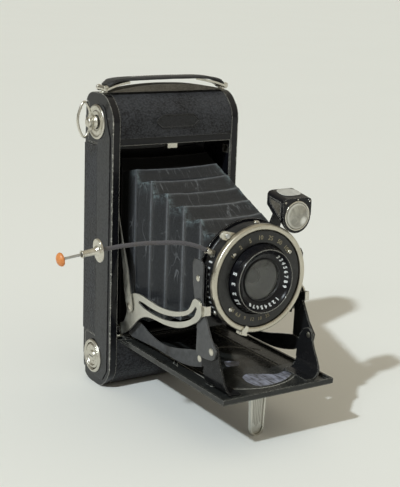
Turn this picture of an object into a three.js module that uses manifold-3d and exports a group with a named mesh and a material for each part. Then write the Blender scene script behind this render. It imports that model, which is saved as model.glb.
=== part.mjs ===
// A folding roll-film camera, opened for use and standing on its lower end.
//
// Frame: millimetres, +Z up, -Y forwards (the lens looks along -Y), +X to the right.
// The origin is the centre of the flat lower end of the body.
//
// The bed drops down on a hinge at its lower edge. Two legs stand on it and carry the lens
// standard, so that the standard moves back into the body as the bed closes.

import * as THREE from 'three';
import { mergeVertices } from 'three/addons/utils/BufferGeometryUtils.js';
import Module from 'manifold-3d';

const wasm = await Module();
wasm.setup();

// ---------------------------------------------------------------- driving dimensions

const GAP = 0.3;                      // between pieces that touch
const SEGMENTS = 32;                  // round a turned piece

const BODY = { width: 85, height: 174.3, depth: 34, wall: 1.6 };
const HALF_X = BODY.width / 2 - 0.5;  // metal; the side leather makes up the width
const HALF_Y = BODY.depth / 2;
const SLOPE = { run: 9.5, rise: 10.5 };           // flat chamfer along both front ends
const FRONT_ROUND = 14;
const BACK_ROUND = 11;

const MOUTH = { halfX: 37, low: 33, high: 146 };  // opening that the bed closes
const PANEL_HALF_X = 37.5;                        // front leather between the enamel rims
const GATE = { y: 11.4, thick: 1, halfX: 31.5, halfZ: 54 };
const SPOOL = { radius: 9.3, halfX: 35.8, upper: [2, 157.7], lower: [3.4, 16.6] };
const DOOR = { wall: 1.2, seamY: 1.4, low: 30, high: 145, hinge: [13.2, 4.2] };

const AXIS_Z = 87;                                // lens axis above the lower end
const BED = { halfX: 35.5, front: -127, floor: 31.8, rim: 33.2, under: 30.3, hinge: [-14.8, 33.4] };
const FOOT = { y: -107.5, pivotZ: 28.4 };
const LEG = { inner: 31.2, outer: 32.4 };
const ARM = { pivot: [-12.6, 37.5], inner: 33, outer: 34 };
const STRUT = { pivot: [-8.5, 118], inner: 34.4, outer: 35.2 };
const BRACKET = { inner: 30, outer: 30.9 };
const FLANGE = { inner: 28.8, outer: 29.7 };

const PLATE = { back: -90.2, front: -91.5, radius: 30 };
const SHUTTER = { radius: 28.6, back: -91.8, front: -101.2, bore: 13 };
const RING = { outer: 29.5, inner: 26.4, back: -101.5, front: -104.6 };
const LENS = { front: -110, rim: 16.9, skirt: 18.8, bore: 11.6, seat: -106.2, glass: 11.3 };
const BELLOWS = { back: [33, 52.3, 10.9], front: [19.5, 21.6, -89.9], wall: 1.2 };
const FINDER = { x: 20.4, z: 119.2, halfX: 9.2, front: -106.6, back: -91.9, top: 129.2, rise: 0.16 };
const FINDER_PIVOT = [21, 123.4];
const FINDER_GLASS = 8;

const SOCKET = { y: -96.4, angle: Math.PI / 3, length: 5 };
const CABLE = { diameter: 2.2, sides: 8 };
const CABLE_ROUTE = [
  [-29.7, -96.4, 104.1], [-34.4, -96, 106.4], [-40.4, -95, 108.2], [-47, -94, 109.2], [-54, -93, 109.6],
  [-60, -92.2, 109.9], [-66, -91.4, 109.9], [-72, -90.8, 109.7], [-78, -90.3, 109.4], [-86.9, -90, 108.6],
];
const RELEASE = { at: [-88, -90, 108.5], tilt: 6.5 };  // thumb plate, and the slope of its barrel

// ---------------------------------------------------------------- materials

const enamel = [0x0b0b0e, 0.16, 0.1];
const blackMetal = [0x141417, 0.35, 0.4];
const leather = [0x17181b, 0.62, 0];
const nickel = [0xd8d2be, 0.26, 1];
const steel = [0xb9b8b2, 0.32, 1];
const glass = [0x8d8f86, 0.06, 0];
const redGlass = [0x7a0d0a, 0.2, 0];
const greyPaint = [0x55565a, 0.4, 0.5];
const orangePaint = [0xd9632b, 0.4, 0];
const braid = [0x5a5360, 0.7, 0];

const root = new THREE.Group();

function material([color, roughness, metalness]) {
  return new THREE.MeshStandardMaterial({ color, roughness, metalness });
}

// ---------------------------------------------------------------- solids and booleans

function toSolid(geometry) {
  const bare = geometry.clone();
  bare.deleteAttribute('normal');
  bare.deleteAttribute('uv');
  const merged = mergeVertices(bare, 1e-4);
  const vertProperties = new Float32Array(merged.attributes.position.array);
  const triVerts = new Uint32Array(merged.index.array);
  if (signedVolume(vertProperties, triVerts) < 0) {
    for (let i = 0; i < triVerts.length; i += 3) {
      [triVerts[i], triVerts[i + 1]] = [triVerts[i + 1], triVerts[i]];
    }
  }
  return new wasm.Manifold(new wasm.Mesh({ numProp: 3, vertProperties, triVerts }));
}

function signedVolume(p, t) {
  let sum = 0;
  for (let i = 0; i < t.length; i += 3) {
    const [a, b, c] = [t[i] * 3, t[i + 1] * 3, t[i + 2] * 3];
    sum += p[a] * (p[b + 1] * p[c + 2] - p[b + 2] * p[c + 1]);
    sum += p[a + 1] * (p[b + 2] * p[c] - p[b] * p[c + 2]);
    sum += p[a + 2] * (p[b] * p[c + 1] - p[b + 1] * p[c]);
  }
  return sum;
}

function toGeometry(solid) {
  const mesh = solid.getMesh();
  const geometry = new THREE.BufferGeometry();
  geometry.setAttribute('position', new THREE.BufferAttribute(new Float32Array(mesh.vertProperties), 3));
  geometry.setIndex(new THREE.BufferAttribute(new Uint32Array(mesh.triVerts), 1));
  geometry.computeVertexNormals();
  return geometry;
}

function addPiece(name, solid, look, parent = root) {
  const mesh = new THREE.Mesh(toGeometry(solid), material(look));
  mesh.name = name;
  parent.add(mesh);
  return mesh;
}

function union(...solids) {
  return solids.reduce((all, next) => all.add(next));
}

// ---------------------------------------------------------------- outlines

function shapeOf(points) {
  return new THREE.Shape(points.map(([a, b]) => new THREE.Vector2(a, b)));
}

function rectangle(a0, b0, a1, b1) {
  return shapeOf([[a0, b0], [a1, b0], [a1, b1], [a0, b1]]);
}

function disc(a, b, radius) {
  return new THREE.Shape().absarc(a, b, radius, 0, Math.PI * 2, false);
}

// A polygon whose corners are moved inwards by inset, then rounded.
function roundedPolygon(corners, radii, inset = 0) {
  const count = corners.length;
  const edges = corners.map(([a, b], i) => {
    const [c, d] = corners[(i + 1) % count];
    const length = Math.hypot(c - a, d - b);
    return { along: [(c - a) / length, (d - b) / length], from: [a, b] };
  });
  const moved = corners.map((corner, i) => {
    const before = edges[(i + count - 1) % count].along;
    const after = edges[i].along;
    const cross = before[0] * after[1] - before[1] * after[0];
    const push = inset / cross;
    return [corner[0] + (after[0] - before[0]) * push, corner[1] + (after[1] - before[1]) * push];
  });
  const shape = new THREE.Shape();
  moved.forEach(([a, b], i) => {
    const before = edges[(i + count - 1) % count].along;
    const after = edges[i].along;
    const cosine = before[0] * after[0] + before[1] * after[1];
    const reach = Math.max(radii[i] - inset, 0.3) * Math.tan(Math.acos(cosine) / 2);
    const start = [a - before[0] * reach, b - before[1] * reach];
    const end = [a + after[0] * reach, b + after[1] * reach];
    if (i === 0) shape.moveTo(...start);
    else shape.lineTo(...start);
    shape.quadraticCurveTo(a, b, ...end);
  });
  shape.closePath();
  return shape;
}

// The body seen from the side, as (y, z), anticlockwise.
function bodyOutline(inset) {
  const top = BODY.height;
  const corners = [
    [-HALF_Y, top - SLOPE.rise], [-HALF_Y, SLOPE.rise], [-HALF_Y + SLOPE.run, 0],
    [HALF_Y, 0], [HALF_Y, top], [-HALF_Y + SLOPE.run, top],
  ];
  const radii = [FRONT_ROUND, FRONT_ROUND, FRONT_ROUND, BACK_ROUND, BACK_ROUND, FRONT_ROUND];
  return roundedPolygon(corners, radii, inset);
}

function smoothOutline(points, divisions) {
  const curve = new THREE.CatmullRomCurve3(points.map(([a, b]) => new THREE.Vector3(a, b, 0)), true);
  return shapeOf(curve.getSpacedPoints(divisions).slice(0, -1).map((p) => [p.x, p.y]));
}

// A slot of one width along a smooth line.
function slotAlong(points, width, divisions) {
  const curve = new THREE.CatmullRomCurve3(points.map(([a, b]) => new THREE.Vector3(a, b, 0)));
  const sides = [[], []];
  for (let i = 0; i <= divisions; i += 1) {
    const point = curve.getPointAt(i / divisions);
    const along = curve.getTangentAt(i / divisions);
    const half = (width / 2) * (i === 0 || i === divisions ? 0.6 : 1);
    sides[0].push([point.x - along.y * half, point.y + along.x * half]);
    sides[1].unshift([point.x + along.y * half, point.y - along.x * half]);
  }
  return shapeOf([...sides[0], ...sides[1]]);
}

// A straight bar with round ends of two radii.
function barOutline([a0, b0], radius0, [a1, b1], radius1) {
  const angle = Math.atan2(b1 - b0, a1 - a0);
  const half = Math.PI / 2;
  const shape = new THREE.Shape();
  shape.absarc(a0, b0, radius0, angle + half, angle + 3 * half, false);
  shape.absarc(a1, b1, radius1, angle - half, angle + half, false);
  return shape;
}

// ---------------------------------------------------------------- extruded and turned solids

function extrude(shape, depth, curveSegments = 8) {
  return new THREE.ExtrudeGeometry(shape, { depth, bevelEnabled: false, curveSegments });
}

// Outline in (y, z), between two values of x.
function acrossX(shape, x0, x1, curveSegments) {
  const geometry = extrude(shape, x1 - x0, curveSegments);
  const turn = new THREE.Matrix4().set(0, 0, 1, x0, 1, 0, 0, 0, 0, 1, 0, 0, 0, 0, 0, 1);
  return toSolid(geometry.applyMatrix4(turn));
}

// Outline in (x, z), between two values of y.
function acrossY(shape, y0, y1, curveSegments) {
  const geometry = extrude(shape, y1 - y0, curveSegments);
  const turn = new THREE.Matrix4().set(1, 0, 0, 0, 0, 0, -1, y1, 0, 1, 0, 0, 0, 0, 0, 1);
  return toSolid(geometry.applyMatrix4(turn));
}

// Outline in (x, y), between two values of z.
function acrossZ(shape, z0, z1, curveSegments) {
  return toSolid(extrude(shape, z1 - z0, curveSegments).translate(0, 0, z0));
}

function box(x0, y0, z0, x1, y1, z1) {
  return acrossX(rectangle(y0, z0, y1, z1), x0, x1);
}

// A closed profile in (radius, along), turned about a line along Y through (x, z).
function turnedY(profile, x = 0, z = AXIS_Z, segments = SEGMENTS) {
  const points = [...profile, profile[0]].map(([r, y]) => new THREE.Vector2(r, y));
  return toSolid(new THREE.LatheGeometry(points, segments).translate(x, 0, z));
}

// The same about a line along X through (y, z).
function turnedX(profile, y, z, segments = SEGMENTS) {
  const points = [...profile, profile[0]].map(([r, x]) => new THREE.Vector2(r, x));
  const geometry = new THREE.LatheGeometry(points, segments).rotateZ(-Math.PI / 2);
  return toSolid(geometry.translate(0, y, z));
}

function cylinderX(radius, x0, x1, y, z, segments = 16) {
  const geometry = new THREE.CylinderGeometry(radius, radius, x1 - x0, segments).rotateZ(Math.PI / 2);
  return toSolid(geometry.translate((x0 + x1) / 2, y, z));
}

function cylinderY(radius, y0, y1, x, z, segments = 16) {
  const geometry = new THREE.CylinderGeometry(radius, radius, y1 - y0, segments);
  return toSolid(geometry.translate(x, (y0 + y1) / 2, z));
}

function cylinderZ(radius, z0, z1, x, y, segments = 16) {
  const geometry = new THREE.CylinderGeometry(radius, radius, z1 - z0, segments).rotateX(Math.PI / 2);
  return toSolid(geometry.translate(x, y, (z0 + z1) / 2));
}

// A ring's rectangular section, as a profile for the turning functions.
function ringProfile(inner, outer, from, to) {
  return [[inner, from], [outer, from], [outer, to], [inner, to]];
}

// Calls make(side) for the left (-1) and the right (+1), with the x limits in rising order.
function bothSides(make) {
  for (const [side, word] of [[-1, 'left'], [1, 'right']]) {
    make(word, (inner, outer) => (side < 0 ? [-outer, -inner] : [inner, outer]), side);
  }
}

// ---------------------------------------------------------------- body

function doorRegion(grow) {
  const { seamY, low, high } = DOOR;
  const outline = [
    [seamY, low], [14.6, low], [14.6, 6.5], [20, 6.5], [20, 168], [13.4, 168], [13.4, high], [seamY, high],
  ];
  const shape = roundedPolygon(outline, outline.map(() => 0.3), -grow);
  return acrossX(shape, -HALF_X - 1, HALF_X + 1, 1);
}

function buildBodyShell() {
  const inside = MOUTH.halfX;
  const { seamY, wall } = DOOR;
  let shell = acrossX(bodyOutline(0), -HALF_X, HALF_X);
  const skinBed = acrossX(bodyOutline(-1), -PANEL_HALF_X, PANEL_HALF_X)
    .subtract(acrossX(bodyOutline(0.9), -50, 50));
  shell = shell.subtract(skinBed.intersect(box(-50, -20, 0.6, 50, 8, 180)));
  const rebate = doorRegion(0.3).subtract(acrossX(bodyOutline(wall + 0.7), -HALF_X + 1.6, HALF_X - 1.6));
  shell = shell.subtract(rebate);
  shell = shell.subtract(box(-inside, -20, MOUTH.low, inside, 20, MOUTH.high));
  const hollow = acrossX(bodyOutline(BODY.wall + 0.9), -inside, inside);
  shell = shell.subtract(hollow.intersect(box(-50, -20, MOUTH.high + 1.6, 50, 20, 180)));
  shell = shell.subtract(hollow.intersect(box(-50, -20, -1, 50, 20, MOUTH.low - 2.6)));
  shell = shell.subtract(box(-inside, 8.5, 8.5, inside, 20, 165));
  shell = shell.subtract(box(-36.6, -18, BED.floor - 0.2, 36.6, BED.hinge[0] + 1.8, MOUTH.low + 0.1));
  const [hingeY, hingeZ] = DOOR.hinge;
  const knuckleRoom = cylinderX(3.85, -50, 50, hingeY, hingeZ, 24).intersect(box(-50, 14.4, 2, 50, 30, 9));
  const lugs = union(box(-28.4, 0, 0, -24.4, 30, 9), box(24.4, 0, 0, 28.4, 30, 9));
  shell = shell.subtract(knuckleRoom.subtract(lugs));
  shell = shell.subtract(box(-24.4, hingeY - 2.3, hingeZ - 2.3, 24.4, 30, 9));
  shell = shell.subtract(cylinderX(0.95, -28.4, 28.4, hingeY, hingeZ));
  for (const [y, z] of [SPOOL.upper, SPOOL.lower]) {
    shell = shell.subtract(cylinderX(2.4, -50, -30, y, z));
  }
  shell = shell.subtract(box(30, -14.6, 138.1, 50, -9.4, 142.3));
  bothSides((word, span) => {
    const boss = cylinderX(2.6, ...span(ARM.outer + GAP, inside + 0.5), ...ARM.pivot);
    const pin = cylinderX(1.4, ...span(ARM.inner, inside), ...ARM.pivot);
    const upperBoss = cylinderX(2.2, ...span(STRUT.outer + GAP, inside + 0.5), ...STRUT.pivot);
    const upperPin = cylinderX(1, ...span(STRUT.inner, inside), ...STRUT.pivot);
    shell = union(shell, boss, pin, upperBoss, upperPin);
  });
  addPiece('body_shell', shell, enamel);
}

function buildFrontLeather() {
  const half = PANEL_HALF_X - 0.2;
  const skin = acrossX(bodyOutline(0.35), -half, half).subtract(acrossX(bodyOutline(0.85), -50, 50));
  const upper = skin.intersect(box(-50, -20, 150, 50, 7.8, 180));
  const lozenge = acrossY(shapeOf([
    [-14.5, 159], [-10.5, 162.6], [10.5, 162.6], [14.5, 159], [10.5, 155.4], [-10.5, 155.4],
  ]), -18, -HALF_Y + 0.55);
  addPiece('front_leather_upper', upper.subtract(lozenge), leather);
  addPiece('front_leather_lower', skin.intersect(box(-50, -20, 0.9, 50, -6, 31.3)), leather);
}

function buildSideLeather() {
  const region = acrossX(roundedPolygon(
    [[-13.6, 150], [-13.6, 12], [-8, 4.5], [1.1, 4.5], [1.1, 168], [-6, 168]],
    [5, 5, 4, 0.6, 0.6, 6],
  ), -60, 60);
  bothSides((word, span) => {
    let sheet = region.intersect(acrossX(bodyOutline(2), ...span(HALF_X + 0.05, HALF_X + 0.5)));
    for (const [y, z] of [SPOOL.upper, SPOOL.lower]) {
      sheet = sheet.subtract(cylinderX(10.5, -50, 50, y, z, SEGMENTS));
    }
    if (word === 'right') sheet = sheet.subtract(box(30, -15.2, 137.5, 50, -8.8, 142.9));
    addPiece(`side_leather_${word}`, sheet, leather);
  });
}

function buildFilmPath() {
  const { y, thick, halfX, halfZ } = GATE;
  const plate = new THREE.Shape(rectangle(-36.7, 31.2, 36.7, 148).getPoints());
  plate.holes.push(rectangle(-halfX, AXIS_Z - halfZ, halfX, AXIS_Z + halfZ));
  addPiece('film_gate', acrossY(plate, y, y + thick), blackMetal);
  for (const [word, z] of [['upper', 149.6], ['lower', 28.2]]) {
    addPiece(`film_roller_${word}`, cylinderX(1.6, -36.5, 36.5, 9.4, z), nickel);
  }
  for (const [name, [py, pz], wound] of [
    ['take_up_spool', SPOOL.upper, 4.2], ['feed_spool', SPOOL.lower, 8.2],
  ]) {
    const { radius, halfX: end } = SPOOL;
    const side = end - 1.2;
    const profile = [
      [1.2, -end], [radius, -end], [radius, -side], [wound, -side],
      [wound, side], [radius, side], [radius, end], [1.2, end],
    ];
    addPiece(name, turnedX(profile, py, pz, 24), blackMetal);
  }
}

function buildWindingKey() {
  const [y, z] = SPOOL.upper;
  const face = -HALF_X - GAP;
  const plate = [
    [4, face], [10, face], [10, face - 0.9], [8.4, face - 1.3], [7, face - 0.7], [4, face - 0.7],
  ];
  addPiece('key_escutcheon', turnedX(plate, y, z), nickel);
  const stem = [
    [0, -36.2], [1.9, -36.2], [1.9, face - 1.2], [3.6, face - 1.2], [3.6, face - 2.4],
    [3, face - 3.2], [3, face - 6.2], [2.4, face - 6.8], [0, face - 6.8],
  ];
  const hinge = cylinderZ(1.25, z - 6, z + 6, face - 4.2, y);
  addPiece('winding_key', turnedX(stem, y, z, 24).subtract(hinge), nickel);
  const loop = new THREE.Shape().absellipse(0, 0, 5.2, 10.8, 0, Math.PI * 2);
  loop.holes.push(new THREE.Path().absellipse(0, 0, 3.9, 9.4, 0, Math.PI * 2));
  const centreX = face - 4.2 - 4.55;
  const ring = acrossY(loop, y - 0.65, y + 0.65, 16).translate([centreX, 0, z]);
  addPiece('key_bail', ring, nickel);
}

function buildFeedKnob() {
  const [y, z] = SPOOL.lower;
  const face = -HALF_X - GAP;
  const rim = [[8, face], [10.2, face], [10.2, face - 0.9], [9.2, face - 1.3], [8, face - 0.9]];
  addPiece('feed_escutcheon', turnedX(rim, y, z), nickel);
  const knob = [
    [0, -36.2], [1.9, -36.2], [1.9, face], [7.6, face], [7.6, face - 0.9], [6.2, face - 1.2],
    [5.2, face - 0.5], [3, face - 0.5], [2.4, face - 1.4], [0, face - 1.4],
  ];
  const slot = box(face - 2, y - 2.6, z - 0.4, face - 0.9, y + 2.6, z + 0.4);
  addPiece('feed_knob', turnedX(knob, y, z, 24).subtract(slot), nickel);
}

// ---------------------------------------------------------------- back

function buildBackDoor() {
  const { wall, hinge } = DOOR;
  const shell = acrossX(bodyOutline(0.4), -HALF_X, HALF_X)
    .subtract(acrossX(bodyOutline(0.4 + wall), -HALF_X + wall, HALF_X - wall));
  let door = shell.intersect(doorRegion(0));
  for (const x of [-28.7, 24.1]) door = door.subtract(box(x, 0, 0, x + 4.6, 30, 9.6));
  const knuckle = cylinderX(1.9, -24, 24, ...hinge).subtract(cylinderX(1.05, -60, 60, ...hinge));
  const web = box(-24, hinge[0] + 0.6, hinge[1] + 0.4, 24, 15.6, 9.5);
  door = union(door, web.subtract(cylinderX(1.5, -60, 60, ...hinge)), knuckle);
  door = door.subtract(cylinderY(5.5, 10, 20, 0, 52, 24));
  addPiece('back_door', door, blackMetal);
  addPiece('back_hinge_pin', cylinderX(0.8, -28, 28, ...hinge), steel);
  const sheet = union(
    box(-HALF_X, 16.65, 14.5, HALF_X, 17, 160),
    box(-HALF_X - 0.5, DOOR.seamY + 0.1, 31, -HALF_X - 0.05, 17, 144),
    box(HALF_X + 0.05, DOOR.seamY + 0.1, 31, HALF_X + 0.5, 17, 144),
    box(-HALF_X - 0.5, 16.65, 31, HALF_X + 0.5, 17, 144),
  );
  addPiece('back_leather', sheet.subtract(cylinderY(8.8, 10, 20, 0, 52, 24)), leather);
  const pressurePlate = box(-34, 13, 36, 34, 13.8, 142).subtract(cylinderY(4, 10, 20, 0, 52, 24));
  addPiece('pressure_plate', pressurePlate, blackMetal);
  addPiece('red_window', cylinderY(5.2, 15.5, 16.4, 0, 52, 24), redGlass);
  const cover = roundedPolygon([[-8, 44], [8, 44], [8, 60], [-8, 60]], [2, 2, 2, 2]);
  addPiece('red_window_cover', acrossY(cover, 16.75, 17.4).translate([0, 0.3, 0]), nickel);
}

function buildBackLatch() {
  const slide = box(20, 9.2, BODY.height + 0.1, 32, 13.2, BODY.height + 0.9);
  const grip = box(21.5, 12.2, BODY.height + 0.1, 30.5, 13.2, BODY.height + 1.8);
  addPiece('back_latch', union(slide, grip), nickel);
}

// ---------------------------------------------------------------- strap, catch and release

function smoothLine(points) {
  const curve = new THREE.CatmullRomCurve3(points.map(([x, z]) => new THREE.Vector3(x, 0, z)));
  return curve.getPoints(16).map((p) => [p.x, p.z]);
}

function buildStrap() {
  const low = [[-37, 177.2], [-30, 178.6], [-16, 179.6], [0, 179.9], [16, 179.7], [30, 178.9], [38, 177.4]];
  const upper = low.map(([x, z], i) => [x, z + 2.2 + 1.1 * Math.sin((Math.PI * i) / (low.length - 1))]);
  const outline = shapeOf([...smoothLine(low), ...smoothLine(upper).reverse()]);
  addPiece('carrying_strap', acrossY(outline, -5.5, 5.5), leather);
  const top = BODY.height;
  bothSides((word, span, side) => {
    const stud = cylinderZ(2.2, top + 0.1, top + 1.4, side * 39.4, 0);
    const [loopFrom, loopTo] = span(38.4, 41.6);
    const loop = box(loopFrom, -4.4, top + 1, loopTo, 4.4, top + 2.6);
    const tongue = acrossY(shapeOf([
      [side * 24, 176.4], [side * 39.4, 176], [side * 39.4, 176.7], [side * 24, 177],
    ]), -3.4, 3.4);
    addPiece(`strap_loop_${word}`, union(stud, loop, tongue), nickel);
  });
}

function buildBedCatch() {
  addPiece('bed_catch', box(-4.5, -13.8, 142.7, 2.1, -10.2, MOUTH.high - 0.1), nickel);
  const button = box(38, -14.2, 138.5, HALF_X + 1.6, -9.8, 141.9);
  const flange = box(37.3, -14.3, 138.4, 38.5, -9.7, 142);
  addPiece('bed_release_button', union(button, flange), nickel);
}

// ---------------------------------------------------------------- bellows

// A box whose front face is smaller than its back face. Each face is [half x, half z, y].
function taperedBox(back, front) {
  const geometry = new THREE.BoxGeometry(2, 2, 2);
  const position = geometry.attributes.position;
  for (let i = 0; i < position.count; i += 1) {
    const [halfX, halfZ, y] = position.getY(i) > 0 ? back : front;
    position.setXYZ(i, position.getX(i) * halfX, y, AXIS_Z + position.getZ(i) * halfZ);
  }
  return toSolid(geometry);
}

function buildBellows() {
  const { back, front, wall } = BELLOWS;
  const inner = ([halfX, halfZ, y], move) => [halfX - wall, halfZ - wall, y + move];
  const tube = taperedBox(back, front).subtract(taperedBox(inner(back, 0.1), inner(front, -0.1)));
  addPiece('bellows', tube, leather);
}

// ---------------------------------------------------------------- bed and its linkage

function buildBed() {
  const { halfX, front, floor, rim, under, hinge } = BED;
  const back = -17.6;
  let bed = box(-halfX, front, under, halfX, back, rim);
  bed = bed.subtract(box(-halfX + 1.2, front + 1.2, floor, halfX - 1.2, back + 1, rim + 1));
  bed = bed.subtract(box(-halfX - 1, -25, floor, halfX + 1, back + 1, rim + 1));
  bed = union(bed, box(-33, back - 1.4, floor - 0.4, 33, back, rim - 0.1));
  bed = union(bed, box(-33, back - 0.1, floor + 0.2, 33, hinge[0], rim - 0.1));
  bed = union(bed, cylinderX(1.5, -33, 33, ...hinge));
  bed = bed.subtract(cylinderX(0.95, -60, 60, ...hinge));
  for (const x of [-7.4, 5.8]) {
    bed = bed.add(box(x, FOOT.y - 1.6, 26.9, x + 1.6, FOOT.y + 1.6, under + 0.2));
  }
  bed = bed.subtract(cylinderX(0.75, -9, 9, FOOT.y, FOOT.pivotZ));
  addPiece('bed', bed, enamel);
  addPiece('bed_hinge_pin', cylinderX(0.75, -36.3, 36.3, ...hinge), nickel);
  const cover = box(-halfX + 0.6, front + 0.6, under - 0.45, halfX - 0.6, back - 1.4, under - 0.05);
  addPiece('bed_leather', cover.subtract(box(-8.2, FOOT.y - 2.4, 20, 8.2, -76.5, 40)), leather);
}

function buildFoot() {
  const { y, pivotZ } = FOOT;
  const outline = shapeOf([
    [-5.2, 29], [-5.2, 26], [-4.3, 3.4], [-3.2, 1], [-1.4, 0],
    [1.4, 0], [3.2, 1], [4.3, 3.4], [5.2, 26], [5.2, 29],
  ]);
  const channel = acrossY(outline, y - 1.1, y + 1.1)
    .subtract(acrossY(outline, y - 2.1, y - 0.1).scale([0.78, 1, 0.94]).translate([0, 0, 0.9]))
    .subtract(cylinderX(1.35, -9, 9, y, pivotZ));
  const barrel = cylinderX(1.5, -5.2, 5.2, y, pivotZ);
  const pin = cylinderX(0.5, -8, 8, y, pivotZ);
  addPiece('bed_foot', union(channel, barrel, pin), nickel);
}

function buildBracketsAndLegs() {
  const stay = smoothOutline([
    [-20, 44.5], [-30, 46.6], [-42, 43], [-54, 41.2], [-63, 41.6], [-74, 43.7], [-84, 46.4], [-93, 48.6],
    [-101, 49.6], [-105, 46.4], [-101, 42.4], [-91, 39], [-79, 36.9], [-64, 36.5], [-48, 36.5],
    [-30, 35.4], [-20, 35.6],
  ], 40);
  const upright = shapeOf([
    [-101.5, BED.floor + 0.1], [-100.4, 38.9], [-101.2, 46], [-103, 52], [-106, 56], [-110, 57.4],
    [-113, 55.4], [-113.8, 51.5], [-115.6, 47], [-118.4, 42.4], [-121, 37], [-122.2, BED.floor + 0.1],
  ]);
  const legOutline = shapeOf([
    [-113.4, 54.2], [-112.6, 50.2], [-109.6, 48.4], [-104, 47.6], [-96.2, 47.6], [-94.9, 49.4],
    [-95.2, 63],
    [-92.6, 74], [-89.6, 86], [-88.8, 96], [-90.4, 98.6], [-96.6, 98.6], [-98.6, 96.4], [-98.9, 77],
    [-101.9, 70.6], [-108.2, 59.8],
  ]);
  const block = shapeOf([[-98, 69], [-99.6, 69.2], [-104.4, 71.6], [-104.2, 76], [-99, 74.9], [-97, 74]]);
  bothSides((word, span, side) => {
    const limits = span(BRACKET.inner, BRACKET.outer);
    const skirt = shapeOf([
      [BRACKET.outer, 50], [BRACKET.outer, 38], [30.3, 35.4], [28.8, 33.2], [26.6, BED.floor + 0.1],
      [21, BED.floor + 0.1], [21, BED.floor + 1], [26, 32.9], [28, 34.1], [29.4, 36], [30, 38.6], [30, 50],
    ].map(([x, z]) => [side * x, z]));
    const plate = union(
      acrossX(stay, ...limits), acrossX(upright, ...limits).intersect(box(-40, -140, 38, 40, -90, 70)),
      acrossY(skirt, -122, -101).intersect(acrossX(upright, ...span(20, BRACKET.outer))),
    );
    addPiece(`bed_bracket_${word}`, plate, blackMetal);
    let leg = acrossX(legOutline, ...span(LEG.inner, LEG.outer));
    leg = leg.add(acrossX(block, ...span(LEG.inner, LEG.outer + 0.3)));
    addPiece(`leg_${word}`, leg, greyPaint);
  });
}

function buildLockArms() {
  const outline = smoothOutline([
    [-13, 34.1], [-19, 36.2], [-26, 40.6], [-32, 46], [-38, 50.8], [-45, 53.6], [-55, 54.7],
    [-65, 55], [-77, 56.8], [-86, 59.8], [-93, 63.4], [-98.6, 67], [-101.2, 70.6], [-100.9, 74.8],
    [-98.4, 77.6], [-95.2, 78.2], [-92.4, 76.4], [-90.9, 73.4], [-88.4, 70.2], [-79, 66.4], [-70, 64.5],
    [-58, 63.5], [-46, 64.1], [-36, 64.5], [-27.5, 62.4], [-22.6, 56], [-21.8, 49], [-18, 43],
    [-13, 40.9], [-9.7, 37.5],
  ], 84);
  const slot = slotAlong([
    [-36, 59.9], [-46, 58.9], [-59, 58.7], [-71, 60.2], [-82, 63.2], [-89.5, 66.4], [-94, 69.8],
    [-96.2, 73.4],
  ], 2.9, 14);
  bothSides((word, span) => {
    const plate = acrossX(outline, ...span(ARM.inner, ARM.outer));
    const cut = union(acrossX(slot, -60, 60), cylinderX(1.8, -60, 60, ...ARM.pivot));
    addPiece(`lock_arm_${word}`, plate.subtract(cut), nickel);
  });
}

function buildStruts() {
  const [topY, topZ] = STRUT.pivot;
  const outline = shapeOf([
    [topY - 2, topZ + 1.4], [topY, topZ + 2.6], [topY + 2, topZ + 1.4], [topY + 1.8, topZ - 1.6],
    [-10.6, 106], [-14.5, 92], [-18.6, 76], [-20.6, 63], [-23.4, 55], [-24.8, 51.6], [-27.4, 51],
    [-29.9, 53], [-29.9, 56.4], [-27.6, 64], [-24.4, 76], [-17.4, 92], [-12, 106], [topY - 1.8, topZ - 1.6],
  ]);
  bothSides((word, span) => {
    const strip = acrossX(outline, ...span(STRUT.inner, STRUT.outer));
    addPiece(`strut_${word}`, strip.subtract(cylinderX(1.35, -60, 60, ...STRUT.pivot)), nickel);
  });
}

// ---------------------------------------------------------------- standard, shutter and lens

function buildStandard() {
  const { back, front, radius } = PLATE;
  let plate = acrossY(disc(0, AXIS_Z, radius), front, back, 24);
  plate = plate.intersect(acrossY(rectangle(-FLANGE.outer, 60, FLANGE.outer, 130), -200, 0));
  plate = plate.add(acrossY(rectangle(-FLANGE.outer, 60, FLANGE.outer, AXIS_Z), front, back));
  const arm = shapeOf([[13, 110], [20, 105], [23.5, 121], [22.8, 124.6], [21, 125.4], [19.2, 124.6]]);
  plate = union(plate, acrossY(arm, front, back), cylinderY(1.2, -94.6, back - 0.5, ...FINDER_PIVOT));
  const side = shapeOf([
    [-91, 62], [-95, 62], [-97, 70], [-98.4, 84], [-98.4, 94], [-96.6, 96.4], [-91, 96.4],
  ]);
  bothSides((word, span) => {
    plate = plate.add(acrossX(side, ...span(FLANGE.inner, FLANGE.outer)));
  });
  addPiece('lens_standard', plate.subtract(cylinderY(13.2, -200, 0, 0, AXIS_Z, 32)), enamel);
}

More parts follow.
